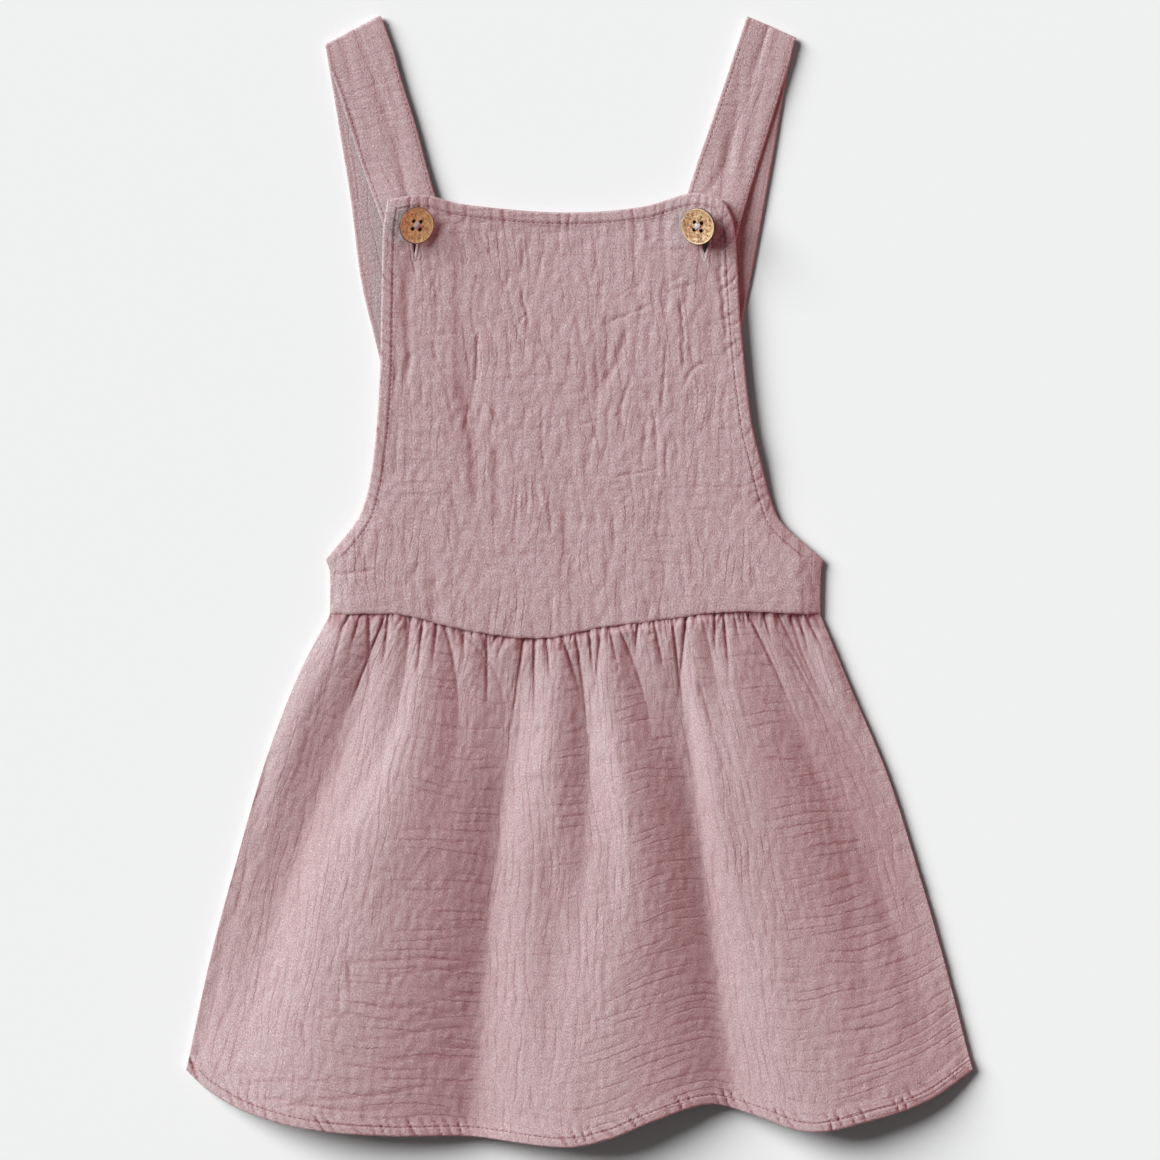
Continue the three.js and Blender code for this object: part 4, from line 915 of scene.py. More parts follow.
def skirt_front_shape(u, v, fine):
    u = banded(u, SKIRT_GRID[0], EDGE / SKIRT_SPAN, EDGE / SKIRT_SPAN)
    v = crowded(v, (0.08, 0.1), (0.05, 0.045))
    x, y = patch(*skirt_patch(FRONT_HEM, front_hem), u, v)
    grain = np.stack([u * SKIRT_FLAT[0], v * SKIRT_FLAT[1]], axis=1)
    seam = waist(np.clip(x, *WAIST_ENDS))
    drop = np.maximum(seam + SEAM_TUCKED - y, 0)
    at_seam = bodice_height(x, seam)
    height = mix(skirt_height(x, y), at_seam, 0.8 * np.exp(-drop / 2.5))
    pinch, pins = pinched_lines(x, y, drop), pin_gathers(x, drop, 17)
    tuck = 0.35 * np.exp(-drop / 0.6) + 1.3 * pinch + 1.0 * pins
    hem = (y - front_hem(x)) * slope_share(front_hem, x)
    edge_y = np.clip(y, HEM_SIDE_Y, 0)
    side = np.minimum(x - skirt_left(edge_y), skirt_right(edge_y) - x)
    slope = skirt_height(x + 3, y) - skirt_height(x - 3, y)
    turned = np.clip(0.35 - 0.4 * slope + 0.4 * smooth((drop - 150) / 90), 0.2, 0.95)
    relief = 1.2 * crinkle(*grain.T, seed=11, creases=1 - turned, crossings=turned)
    relief = relief * smooth((hem - 4) / 8) * smooth(drop / 6)
    wrinkles = wrinkles_at(SKIRT_WRINKLES, x, y)
    hem_height, hem_shade = hem_relief(hem, x, SKIRT_BAND, seed=31, pitch=6.2, pucker=1.2)
    relief = relief + hem_height - wrinkles
    lowest = FRONT_FLOOR + CLOTH * LEAST_WALL
    top = np.maximum(height - tuck + relief, lowest) - rounded(side, 0.35)
    low = np.maximum(height - tuck - CLOTH * upright(skirt_height, x, y), FRONT_FLOOR)
    z = np.where(fine, top, low)
    # fold is painted shade: a deeper red along the valleys, wrinkles, pinched lines, the seam and the hem's
    # groove and puckers.
    fold = 0.25 * np.clip(skirt_folds(x, y) / 14, 0, 1) + np.clip(0.6 * wrinkles, 0, 0.3)
    fold = np.maximum(fold, 0.9 * np.maximum(pinch, 0.7 * pins))
    fold = np.maximum(np.maximum(fold, 0.5 * np.exp(-drop / 0.8)), hem_shade)
    return np.stack([x, y + seam_wave(x) * np.exp(-drop / 6), z], axis=1), grain, fold, turned


front_skirt = cloth_panel("front_skirt_cloth", *SKIRT_GRID, SKIRT_FINER, skirt_front_shape, SKIRT_CLOTH)

# %% [markdown]
# ## The bodice front
# The bib and the band above the waist are one piece. Its neckline and armholes are turned under
# and stitched, so they are firmer than the rest and stand up from it. The cloth swells
# up at the buttons, which pull at it, and its crinkle runs straight down.

# %% Front bodice
BODICE_GRID, BODICE_FINER = (60, 57), 4
HALF_CHEST, BODICE_TALL = 150, 230
NECK_SIDE_Y = 204.7


def bodice_edges(top_y, upper_line):
    """The four edges of a bodice panel."""
    top_ends = (bodice_left(np.array(top_y)), bodice_right(np.array(top_y)))
    return (
        lambda a: (mix(*top_ends, a), upper_line(mix(*top_ends, a))),
        lambda a: (mix(*WAIST_ENDS, a), waist(mix(*WAIST_ENDS, a))),
        lambda a: (bodice_left(mix(top_y, WAIST_SIDE_Y, a)), mix(top_y, WAIST_SIDE_Y, a)),
        lambda a: (bodice_right(mix(top_y, WAIST_SIDE_Y, a)), mix(top_y, WAIST_SIDE_Y, a)),
    )


def bodice_front_shape(u, v, fine):
    u = crowded(u, (0.06, 0.06), (0.035, 0.035))
    last_row = 1 / (BODICE_GRID[1] * BODICE_FINER)
    v = crowded(v, (0.08, last_row), (0.045, SHARP_EDGE / BODICE_TALL))
    x, y = patch(*bodice_edges(NECK_SIDE_Y, neckline), u, v)
    grain = np.stack([x + HALF_CHEST, BODICE_TALL - y], axis=1)
    neck = (neckline(x) - y) * slope_share(neckline, x)
    left = (x - bodice_left(y)) * slope_share(bib_left, np.maximum(y, ARMHOLE_Y + 1))
    right = (bodice_right(y) - x) * slope_share(bib_right, np.maximum(y, ARMHOLE_Y + 1))
    side = np.minimum(left, right)
    at_waist = y - waist(np.clip(x, *WAIST_ENDS))
    on_armhole = smooth((y - ARMHOLE_Y) / 3)
    turned = np.clip(0.3 + 0.6 * noise(x / 34, y / 30, 57), 0, 0.9)
    relief = 1.4 * crinkle(*grain.T, seed=51, creases=1.2 - turned, crossings=turned)
    off_armhole = mix(1, smooth((side - 3) / 7), on_armhole)
    relief = relief * smooth((neck - 3) / 8) * off_armhole * smooth(at_waist / 3)
    arm_relief, armhole_shade = hem_relief(side, y, ARMHOLE_BAND, seed=71, pitch=6.4, pucker=0.6, slant=0.8)
    arm_relief = on_armhole * arm_relief - (1 - on_armhole) * rounded(side)
    neck_relief, neck_shade = hem_relief(neck, x, NECK_BAND, seed=91, pitch=5.8, pucker=0.6, slant=0)
    by_neck = smooth((side - neck) / 4 + 0.5)
    relief = relief + mix(arm_relief, neck_relief, by_neck) - rounded(at_waist, 0.2)
    rim = np.minimum(neck, side)
    relief = np.where(rim < 0.7, -rounded(rim) + HEM_RISE * on_armhole, relief)
    height = bodice_height(x, y)
    dips = np.maximum(pinched_lines(x, y, 0 * x), 0.7 * pin_gathers(x, 0 * x, 17))
    height = height - (0.2 + 0.6 * dips) * np.exp(-at_waist / 1.2)
    top = np.maximum(height + relief, FRONT_FLOOR + CLOTH * LEAST_WALL)
    low = np.maximum(height - CLOTH * upright(bodice_height, x, y), FRONT_FLOOR)
    creases = sum(fold_depth(crease, x, y, CREASE_SOFT) for crease in BIB_CREASES)
    wrinkles = wrinkles_at(BIB_WRINKLES, x, y)
    top = top - wrinkles
    # fold is painted shade: a deeper red in the creases and wrinkles, along the waist seam and in the hems'
    # grooves and puckers.
    fold = np.clip(creases / 8 + wrinkles / 3, 0, 0.25) + 0.55 * np.exp(-at_waist / 0.6)
    fold = np.maximum(fold, mix(armhole_shade * on_armhole, neck_shade, by_neck))
    y = y + seam_wave(x) * np.exp(-at_waist / 6)
    return np.stack([x, y, np.where(fine, top, low)], axis=1), grain, fold, turned


front_bodice = cloth_panel("front_bodice_cloth", *BODICE_GRID, BODICE_FINER, bodice_front_shape,
                           BODICE_CLOTH)

# %% [markdown]
# ## The back panels
# They carry the dress's weight on the table and are hidden in most views, but they are real cloth
# when the dress is picked up. Their fine side is the underside, with its own gathers and crinkles
# pressed into the cloth, so that the lowest points still lie on the table.

# %% Back skirt and back bodice
BACK_SKIRT_GRID, BACK_BODICE_GRID, BACK_FINER = (60, 44), (48, 24), 3
BACK_SPAN, BACK_TALL = 200, 120
BACK_GATHERS = [dict(gather, deep=gather["deep"] * 0.45, long=gather["long"] * 1.3) for gather in GATHERS]


def back_panel(height_shape):
    """Turn a panel over: its fine side becomes the underside, never below the table."""
    def shape(u, v, fine):
        x, y, grain, relief, fold = height_shape(u, v)
        z = np.where(fine, np.clip(relief, 0, LEAST_WALL * CLOTH), CLOTH)
        return np.stack([x, y, z], axis=1), grain, fold, 0.3 + 0 * x
    return shape


def back_skirt_shape(u, v):
    u = banded(u, BACK_SKIRT_GRID[0], EDGE / SKIRT_SPAN, EDGE / SKIRT_SPAN)
    v = banded(v, BACK_SKIRT_GRID[1], SHARP_EDGE / SKIRT_LONG, EDGE / SKIRT_LONG)
    x, y = patch(*skirt_patch(BACK_HEM, back_hem), u, v)
    grain = np.stack([u * SKIRT_FLAT[0], v * SKIRT_FLAT[1]], axis=1)
    drop = np.maximum(waist(np.clip(x, *WAIST_ENDS)) + SEAM_TUCKED - y, 0)
    gathers = sum(gather_depth(g, x, drop) for g in BACK_GATHERS)
    hem = (y - back_hem(x)) * slope_share(back_hem, x)
    groove = 0.3 * np.exp(-(((hem - SKIRT_BAND + STITCH_INSET) / 0.55) ** 2))
    relief = 0.35 - 0.7 * crinkle(*grain.T, seed=211) * smooth(hem / 8)
    relief = relief + gathers + groove + rounded(hem, 0.5)
    # The last value is painted shade in the gathers.
    return x, y, grain, relief, np.clip(gathers / 2, 0, 0.6)


def back_bodice_shape(u, v):
    u = banded(u, BACK_BODICE_GRID[0], EDGE / BACK_SPAN, EDGE / BACK_SPAN)
    v = banded(v, BACK_BODICE_GRID[1], EDGE / BACK_TALL, SHARP_EDGE / BACK_TALL)
    inset = 1

    def inset_side(edge, sign):
        def at(a):
            y = mix(BACK_NECK_Y, WAIST_SIDE_Y, a)
            return edge(y) + sign * inset * smooth((y - ARMHOLE_Y + 20) / 20), y
        return at

    left, right = inset_side(bodice_left, 1), inset_side(bodice_right, -1)
    x_left, x_right = left(np.array(0.0))[0], right(np.array(0.0))[0]
    x, y = patch(lambda a: (mix(x_left, x_right, a), BACK_NECK_Y + 0 * a),
                 lambda a: (mix(*WAIST_ENDS, a), waist(mix(*WAIST_ENDS, a))), left, right, u, v)
    grain = np.stack([x + HALF_CHEST, BODICE_TALL - y], axis=1)
    relief = 0.35 - 0.7 * crinkle(*grain.T, seed=251)
    return x, y, grain, relief, 0 * x


back_skirt = cloth_panel("back_skirt_cloth", *BACK_SKIRT_GRID, BACK_FINER,
                         back_panel(back_skirt_shape), SKIRT_CLOTH)
back_bodice = cloth_panel("back_bodice_cloth", *BACK_BODICE_GRID, BACK_FINER,
                          back_panel(back_bodice_shape), BODICE_CLOTH)

# %% [markdown]
# ## The straps
# A strap is a doubled band, sewn along both edges and pressed. It starts under the bib, runs up to
# the shoulder, turns over there and comes back down behind. A ribbon made by sweeping one section
# along a curve would twist at the slanted turn, so each station of the band is given by its two
# edges, and the section is stretched between them.

# %% Strap tables
STRAPS = {
    "left": dict(
        side=-1, outer_fold=(-137, 287.4), inner_fold=(-106.8, 303.4),
        front_outer=[(-98.5, 166), (-107.6, 196), (-116, 219), (-123, 240.5), (-128.8, 259.5),
                     (-134.4, 275)],
        front_inner=[(-66.5, 166), (-75, 197), (-82.5, 223.5), (-88.6, 246), (-95.5, 268), (-100.5, 286)],
        back_outer=[(-134.1, 270), (-128.8, 238), (-123.5, 205), (-118, 162), (-109.5, 126), (-104.3, 104),
                    (-102.6, 97), (-100.2, 86)],
        back_inner=[(-103, 277), (-98, 243), (-92.8, 209), (-87.2, 168), (-79.5, 133), (-74, 110),
                    (-72.2, 98), (-70, 86)]),
    "right": dict(
        side=1, outer_fold=(116.4, 291.2), inner_fold=(89.9, 302.9),
        front_outer=[(80, 166), (88.4, 198), (96, 223), (103, 245.5), (109.3, 266), (113.9, 281)],
        front_inner=[(48, 166), (55.6, 199), (63.5, 225), (70.5, 245), (78.2, 268), (84.8, 288)],
        back_outer=[(111.4, 270), (105, 232), (100.2, 205), (93.2, 167), (87.6, 137), (85.6, 110),
                    (85.5, 97), (85, 86)],
        back_inner=[(81.5, 277), (74.6, 237), (69.4, 208), (62.8, 171), (57.4, 140), (55.4, 112),
                    (54.8, 98), (54.4, 86)]),
}
STRAP_SHARE_OF_SWELL = 0.65
STRAP_CREASES = {
    "left": table(
        FOLD_COLUMNS,
        ((-119.6, 297), (-103, 249), (-92, 205), (0.4, 0.9, 0.7), (5, 5), (5, 5)),
        ((-128, 266), (-122, 248), (-117, 228), (0.2, 0.7, 0.2), (3, 3), (5, 5)),
        ((-127, 290), (-124, 275), (-117, 252), (0.3, 0.5, 0.2), (4, 4), (5, 5)),
        ((-108, 285), (-101, 262), (-96, 240), (0.2, 0.4, 0.2), (4, 4), (4, 4)),
    ),
    "right": table(
        FOLD_COLUMNS,
        ((103, 300), (96, 280), (91, 254), (1, 0.9, 0.3), (6, 6), (3, 3)),
        ((87, 275), (84, 246), (77, 208), (0.3, 1, 0.8), (7, 7), (6, 6)),
        ((80, 244), (80.5, 232), (68, 208), (0.2, 0.8, 0.6), (5, 5), (6, 6)),
        ((100, 273), (96, 254), (91, 230), (0.2, 0.5, 0.2), (4, 4), (4, 4)),
    ),
}
STRAP_SEEDS = {"left": 300, "right": 340}
STRAP_WIDTH, STRAP_COLUMNS, STRAP_STITCH = 31, 36, 1.9
FRONT_STEPS, FOLD_STEPS, BACK_STEPS = 150, 12, 200


def spline(points, count):
    """Evenly counted points of a smooth curve through the given ones."""
    points = np.array(points, float)
    last = len(points) - 1
    t = np.linspace(0, last, count)
    i = np.minimum(t.astype(int), last - 1)
    w = (t - i)[:, None]
    p0, p1, p2, p3 = (points[np.clip(i + k, 0, last)] for k in (-1, 0, 1, 2))
    v1, v2 = (p2 - p0) / 2, (p3 - p1) / 2
    return (2 * p1 - 2 * p2 + v1 + v2) * w**3 + (-3 * p1 + 3 * p2 - 2 * v1 - v2) * w**2 + v1 * w + p1


def strap_stations(strap):
    """Outer edge, inner edge, level, share of the swell, and the direction of the outer face."""
    front_level, back_level = STRAP_LEVEL + STRAP / 2, STRAP / 2
    radius = (front_level - back_level) / 2
    outer_fold, inner_fold = np.array(strap["outer_fold"]), np.array(strap["inner_fold"])
    axis = (inner_fold - outer_fold) / np.linalg.norm(inner_fold - outer_fold)
    away = np.array([axis[1], -axis[0]]) * strap["side"]
    turns = np.linspace(0, math.pi, FOLD_STEPS)
    outs = radius * np.sin(turns)[:, None] * away
    back_outer, back_inner = spline(strap["back_outer"], BACK_STEPS), spline(strap["back_inner"], BACK_STEPS)
    climb = smooth((BACK_NECK_Y + 14 - (back_outer[:, 1] + back_inner[:, 1]) / 2) / 12)
    outer = np.concatenate([spline(strap["front_outer"], FRONT_STEPS), outer_fold + outs, back_outer])
    inner = np.concatenate([spline(strap["front_inner"], FRONT_STEPS), inner_fold + outs, back_inner])
    level = np.concatenate([np.full(FRONT_STEPS, front_level), back_level + radius * (1 + np.cos(turns)),
                            back_level + FRONT_FLOOR * climb])
    swell = np.concatenate([np.full(FRONT_STEPS, STRAP_SHARE_OF_SWELL), np.zeros(FOLD_STEPS + BACK_STEPS)])
    tilt = np.concatenate([np.zeros(FRONT_STEPS), turns, np.full(BACK_STEPS, math.pi)])
    normal = np.stack([away[0] * np.sin(tilt), away[1] * np.sin(tilt), np.cos(tilt)], axis=1)
    return outer, inner, level, swell, normal


print("each strap is laid over", FRONT_STEPS + FOLD_STEPS + BACK_STEPS, "stations")

# %% Strap pieces
def strap_shape(strap, creases, seed):
    """A strap's shape function for cloth_panel, its number of rows, and its length."""
    outer, inner, level, swell, normal = strap_stations(strap)
    along = np.concatenate([[0], np.cumsum(np.linalg.norm(np.diff((outer + inner) / 2, axis=0), axis=1))])
    rows = len(outer) - 1

    def shape(u, v, fine):
        station = np.clip(np.round(v * rows).astype(int), 0, rows)
        width = np.linalg.norm(outer[station] - inner[station], axis=1)
        u = banded(u, STRAP_COLUMNS, SHARP_EDGE / STRAP_WIDTH, SHARP_EDGE / STRAP_WIDTH)
        at = 1 - u if strap["side"] < 0 else u
        place = mix(outer[station], inner[station], at[:, None])
        edge = np.minimum(u, 1 - u) * width
        groove = 0.22 * np.exp(-(((edge - STRAP_STITCH) / 0.5) ** 2))
        grain = np.stack([u * width + 3, along[station]], axis=1)
        puckers = 0.12 * noise(along[station] / 2.4, u * 3, seed + 9) * np.exp(-(((edge - 2) / 3) ** 2))
        relief = 0.75 * crinkle(grain[:, 0] * 0.8, grain[:, 1], seed, creases=0.6)
        relief = relief * smooth((edge - 1) / 3)
        troughs = sum(fold_depth(crease, place[:, 0], place[:, 1], CREASE_SOFT) for crease in creases)
        relief = relief - troughs * (normal[station, 2] > 0) * smooth((edge - 0.5) / 3)
        half = STRAP / 2 - groove + puckers + relief - 0.45 * rounded(edge, 1.2)
        half = np.where(fine, half, -(STRAP / 2 - groove - 0.45 * rounded(edge, 1.2)))
        z = level[station] + swell[station] * button_swell(place[:, 0], place[:, 1])
        points = np.column_stack([place, z]) + normal[station] * half[:, None]
        points[:, 2] = np.maximum(points[:, 2], 0)
        # fold is painted shade along the stitched grooves.
        fold = 0.35 * np.exp(-(((edge - STRAP_STITCH) / 0.6) ** 2))
        return points, grain, fold, 0.35 + 0 * edge

    return shape, rows, along[-1]


strap_pieces = {}
for side, strap in STRAPS.items():
    shape, rows, length = strap_shape(strap, STRAP_CREASES[side], STRAP_SEEDS[side])
    strap_pieces[side] = cloth_panel(f"strap_{side}_cloth", STRAP_COLUMNS, rows, 1, shape, STRAP_CLOTH)
    strap["length"] = length
    print(side, "strap is", round(length), "mm long")

# %% [markdown]
# ## The buttons
# They are cut from coconut shell: a tan disc with darker flecks, a rim that stands up a little and
# four holes. A button is turned on a lathe, so its profile is spun round here too, and the holes
# are drilled by cutting cylinders out of it. Each one leans in its buttonhole, as in wear.

# %% Button shape
BUTTON_RADIUS, BUTTON_THICK, BUTTON_BEVEL = 10.15, 2.8, 1.6
RIM_INSIDE, RIM_OUTSIDE, RIM_LEVEL, SIDE_LEVEL = 8.9, 9.65, 2.4, 2.45
HOLE_RADIUS, HOLE_PITCH = 1.2, 4.1
BUTTONS = {
    "left": dict(x=-88.5, y=191.3, lean=27, towards=-24, turn=-6),
    "right": dict(x=64.7, y=190.7, lean=28, towards=202, turn=-6),
}
BUTTON_PROFILE = [
    (0, 0), (8.5, 0), (9.3, 0.3), (9.8, 1), (10.05, 1.7), (10.12, 2.1), (10.05, 2.4), (9.85, 2.66),
    (9.6, 2.78), (9.35, 2.76), (9.15, 2.64), (8.8, 2.54), (0, 2.5),
]


def button_matrix(button):
    """Where a button lies: leaning, and just clear of the bib under it."""
    slope, direction = math.tan(math.radians(button["lean"])), math.radians(button["towards"])
    share, angle = np.meshgrid([0.5, 0.8, 1], np.linspace(0, 2 * math.pi, 25))
    foot = BUTTON_RADIUS - BUTTON_BEVEL
    along = share * foot * np.cos(angle) * math.cos(math.atan(slope))
    beside = share * foot * np.sin(angle)
    x = button["x"] + along * math.cos(direction) - beside * math.sin(direction)
    y = button["y"] + along * math.sin(direction) + beside * math.cos(direction)
    on_hem = ((y > neckline(x) - NECK_HEM) | (x < bodice_left(y) + ARMHOLE_HEM)
              | (x > bodice_right(y) - ARMHOLE_HEM))
    lift = (bodice_height(x, y) + HEM_RISE * on_hem + along * slope).max() + SEAM_GAP
    tilt_axis = Vector((-math.sin(direction), math.cos(direction), 0))
    return (Matrix.Translation(Vector((button["x"], button["y"], lift)))
            @ Matrix.Rotation(math.radians(button["lean"]), 4, tilt_axis)
            @ Matrix.Rotation(math.radians(button["turn"]), 4, "Z"))


def turned_disc(name):
    """The button's profile spun round."""
    bm = bmesh.new()
    rim = [bm.verts.new((r, 0, z)) for r, z in BUTTON_PROFILE]
    edges = [bm.edges.new(pair) for pair in zip(rim, rim[1:])]
    bmesh.ops.spin(bm, geom=rim + edges, cent=(0, 0, 0), axis=(0, 0, 1), angle=2 * math.pi,
                   steps=96, use_merge=True)
    bmesh.ops.remove_doubles(bm, verts=list(bm.verts), dist=1e-4)
    bmesh.ops.recalc_face_normals(bm, faces=list(bm.faces))
    return mesh_from(name, bm)


def cut_away(piece, cutter):
    """The mesh of a piece with the cutter's shape taken out of it."""
    cut = piece.modifiers.new("cut", "BOOLEAN")
    cut.operation, cut.object, cut.solver = "DIFFERENCE", cutter, "EXACT"
    bpy.context.view_layer.update()
    seen = piece.evaluated_get(bpy.context.evaluated_depsgraph_get())
    mesh = bpy.data.meshes.new_from_object(seen)
    piece.modifiers.remove(cut)
    return mesh


def drill(disc):
    """Cut the four holes, and give back a new mesh."""
    bm = bmesh.new()
    for sx, sy in ((1, 1), (1, -1), (-1, 1), (-1, -1)):
        place = Matrix.Translation((sx * HOLE_PITCH / 2, sy * HOLE_PITCH / 2, BUTTON_THICK / 2))
        bmesh.ops.create_cone(bm, cap_ends=True, segments=28, radius1=HOLE_RADIUS, radius2=HOLE_RADIUS,
                              depth=3 * BUTTON_THICK, matrix=place)
    blank = bpy.data.objects.new("button_blank", disc)
    bits = bpy.data.objects.new("drill_bits", mesh_from("drill_bits", bm))
    for thing in (blank, bits):
        bpy.context.scene.collection.objects.link(thing)
    drilled = cut_away(blank, bits)
    for thing in (blank, bits):
        mesh = thing.data
        bpy.data.objects.remove(thing)
        bpy.data.meshes.remove(mesh)
    return drilled


print("buttons are", 2 * BUTTON_RADIUS, "mm across with holes of", 2 * HOLE_RADIUS, "mm")

# %% [markdown]
# ## Coconut shell
# The polished shell shows a tan ground with paler blotches, dark pores and cream glints where the
# fibres end. Its rim is a cream ring, and its side is painted near-black as painted shadow round the
# button. Three noises of different size make the flecks, since a picture of real shell would repeat,
# and both buttons use the same group with colours of their own, because no two pieces of shell match.

# %% Button material
def make_coconut_group():
    """Coconut shell: blotches, dark pores and cream glints, a cream rim, and painted shadow on the outer
    side.
    """
    group, inside, outside = new_group(
        "Coconut", {"Place": "", "Colour": (0.5, 0.28, 0.11, 1), "Pale": (0.64, 0.42, 0.2, 1),
                    "Dark": (0.27, 0.11, 0.04, 1), "Glint": BUTTON_CREAM, "Side shadow": BUTTON_SIDE_SHADOW,
                    "Rim": 0.0, "Side": 0.0},
        {"Colour": "NodeSocketColor", "Pores": "NodeSocketFloat"})
    place = inside.outputs["Place"]
    blotch = noise_node(group, place, 420, detail=4.0, roughness=0.75)
    pores = noise_node(group, place, 820, detail=3.0, roughness=0.75, stretch=(1, 0.5, 1))
    glints = noise_node(group, place, 1000, detail=2.0, roughness=0.7, stretch=(0.5, 1, 1))
    blotch = ramp(group, blotch, 0.42, 0.58)
    pores = ramp(group, pores, 0.49, 0.58)
    glints = ramp(group, glints, 0.54, 0.62)
    body = mix_colour(group, blotch, inside.outputs["Colour"], inside.outputs["Pale"])
    for mask, share, colour in ((pores, 0.95, "Dark"), (glints, 0.85, "Glint"),
                                (inside.outputs["Rim"], 0.7, "Glint")):
        strength = math_node(group, "MULTIPLY", mask, share)
        body = mix_colour(group, strength, body, inside.outputs[colour])
    # The outer side is painted near-black: painted shadow round the button.
    body = mix_colour(group, inside.outputs["Side"], body, inside.outputs["Side shadow"])
    link(group, body, outside.inputs["Colour"])
    link(group, pores, outside.inputs["Pores"])
    return group


BUTTON_CREAM = (0.74, 0.56, 0.33, 1)
# The near-black below is painted shadow for the buttons' sides.
BUTTON_SIDE_SHADOW = (0.06, 0.022, 0.014, 1)
COCONUT_GROUP = make_coconut_group()
COCONUT_COLOURS = {
    "left": dict(Colour=(0.72, 0.62, 0.21, 1), Pale=(0.86, 0.8, 0.4, 1), Dark=(0.4, 0.26, 0.07, 1)),
    "right": dict(Colour=(0.43, 0.23, 0.1, 1), Pale=(0.55, 0.34, 0.18, 1), Dark=(0.21, 0.08, 0.035, 1)),
}


def button_material(name, colours):
    material, tree, shader = new_material(name, {"Coat Weight": 0.15, "Coat Roughness": 0.35})
    coconut = use_group(tree, COCONUT_GROUP, colours)
    for title in ("Rim", "Side"):
        link(tree, use_attribute(tree, title.lower()), coconut.inputs[title])
    link(tree, tree.nodes.new("ShaderNodeTexCoord").outputs["Object"], coconut.inputs["Place"])
    link(tree, coconut.outputs["Colour"], shader.inputs["Base Color"])
    roughness = math_node(tree, "MULTIPLY_ADD", coconut.outputs["Pores"], 0.2, 0.45)
    link(tree, roughness, shader.inputs["Roughness"])
    add_bump(tree, shader, coconut.outputs["Pores"], 0.14 * MM, invert=True)
    return material


COCONUT = {side: button_material(f"coconut_{side}", colours)
           for side, colours in COCONUT_COLOURS.items()}
print("coconut group:", len(COCONUT_GROUP.nodes), "nodes")

# %% Button pieces
button_pieces = {}
for side, button in BUTTONS.items():
    mesh = drill(turned_disc(f"button_{side}_disc"))
    points = get_points(mesh)
    from_middle = np.hypot(points[:, 0], points[:, 1])
    below, outside_rim = SIDE_LEVEL - points[:, 2], from_middle - RIM_OUTSIDE
    # The side mask says where the painted shadow goes on each button.
    masks = {"rim": smooth((from_middle - RIM_INSIDE) / 0.3) * (points[:, 2] > RIM_LEVEL),
             "side": np.maximum(smooth(below / 0.3), smooth(outside_rim / 0.15))}
    button["matrix"] = button_matrix(button)
    turned = np.array([button["matrix"] @ Vector(p) for p in points])
    set_points(mesh, turned * MM)
    for title, mask in masks.items():
        mesh.attributes.new(title, "FLOAT", "POINT").data.foreach_set("value", mask.astype(np.float32))
    if points_inside_out(mesh):
        mesh.flip_normals()
    button_pieces[side] = add_object(f"button_{side}_coconut", mesh, COCONUT[side], smooth_angle=35)
    lift = round(button["matrix"].translation.z, 2)
    print(side, "button:", len(mesh.polygons), "faces, lift", lift, "mm")

# %% [markdown]
# ## The thread that holds the buttons
# Strands cross from hole to hole on top, and a wound shank below lets the button stand off the
# strap by the thickness of the bib. Three strands lie side by side each way, and each one is a sphere
# stretched to a grain of thread, because at this size only its rounded top and its ends in the holes
# show. A swept tube would take far more faces for the same look.

# %% Button thread
STRAND = (HOLE_PITCH * 1.12, 0.85, 0.9)
STRAND_STEP, STRAND_LEVEL, STRAND_OVER = 0.55, 2.62, 0.25
SHANK_RADIUS, SHANK_FOOT = 1.5, 3.9


def thread_grain(bm, middle, along, up, size):
    """Add one grain of thread: length, width and height, lying along a direction."""
    side = up.cross(along).normalized()
    stand = along.cross(side).normalized()
    stretch = Matrix((along * size[0] / 2, side * size[1] / 2, stand * size[2] / 2)).transposed().to_4x4()
    place = Matrix.Translation(middle) @ stretch @ Matrix.Rotation(math.pi / 2, 4, "Y")
    bmesh.ops.create_uvsphere(bm, u_segments=6, v_segments=5, radius=1, matrix=place)


def finish_piece(name, bm, material):
    """Turn a bmesh in millimetres into a piece."""
    bmesh.ops.scale(bm, vec=(MM, MM, MM), verts=list(bm.verts))
    bmesh.ops.recalc_face_normals(bm, faces=list(bm.faces))
    return add_object(name, mesh_from(name, bm), material, smooth_angle=70)


thread_pieces = []
for side, button in BUTTONS.items():
    bm = bmesh.new()
    for turn in (45, -45):
        along = Vector((math.cos(math.radians(turn)), math.sin(math.radians(turn)), 0))
        beside = Vector((-along.y, along.x, 0))
        for step in (-STRAND_STEP, 0, STRAND_STEP):
            middle = beside * step + Vector((0, 0, STRAND_LEVEL + STRAND_OVER * (turn > 0)))
            thread_grain(bm, middle, along, Vector((0, 0, 1)), STRAND)
    bmesh.ops.transform(bm, matrix=button["matrix"], verts=list(bm.verts))
    thread_pieces.append(finish_piece(f"button_{side}_cross_thread", bm, PALE_COTTON))
    # The shank takes the dark seam thread as painted shade, so that the holes look dark.
    bm = bmesh.new()
    for top_radius, depth, level in ((SHANK_FOOT, 1.2, -0.65), (SHANK_RADIUS, 3, -2.7)):
        bmesh.ops.create_cone(bm, cap_ends=True, segments=24, radius1=SHANK_RADIUS, radius2=top_radius,
                              depth=depth, matrix=Matrix.Translation((0, 0, level)))
    bmesh.ops.transform(bm, matrix=button["matrix"], verts=list(bm.verts))
    thread_pieces.append(finish_piece(f"button_{side}_shank_thread", bm, SEAM_COTTON))
print(len(thread_pieces), "pieces of button thread")

# %% [markdown]
# ## Buttonholes
# A buttonhole is cut last, after its edges have been worked over with close satin stitches. Here the
# stretched button holds it open, so the cut is a long pointed gap. A Boolean cuts it through the bib,
# and the stitches are laid along both its edges and on past its lower end, where they meet: round on
# the left, and in a point on the right, whose button pulls its hole wider.

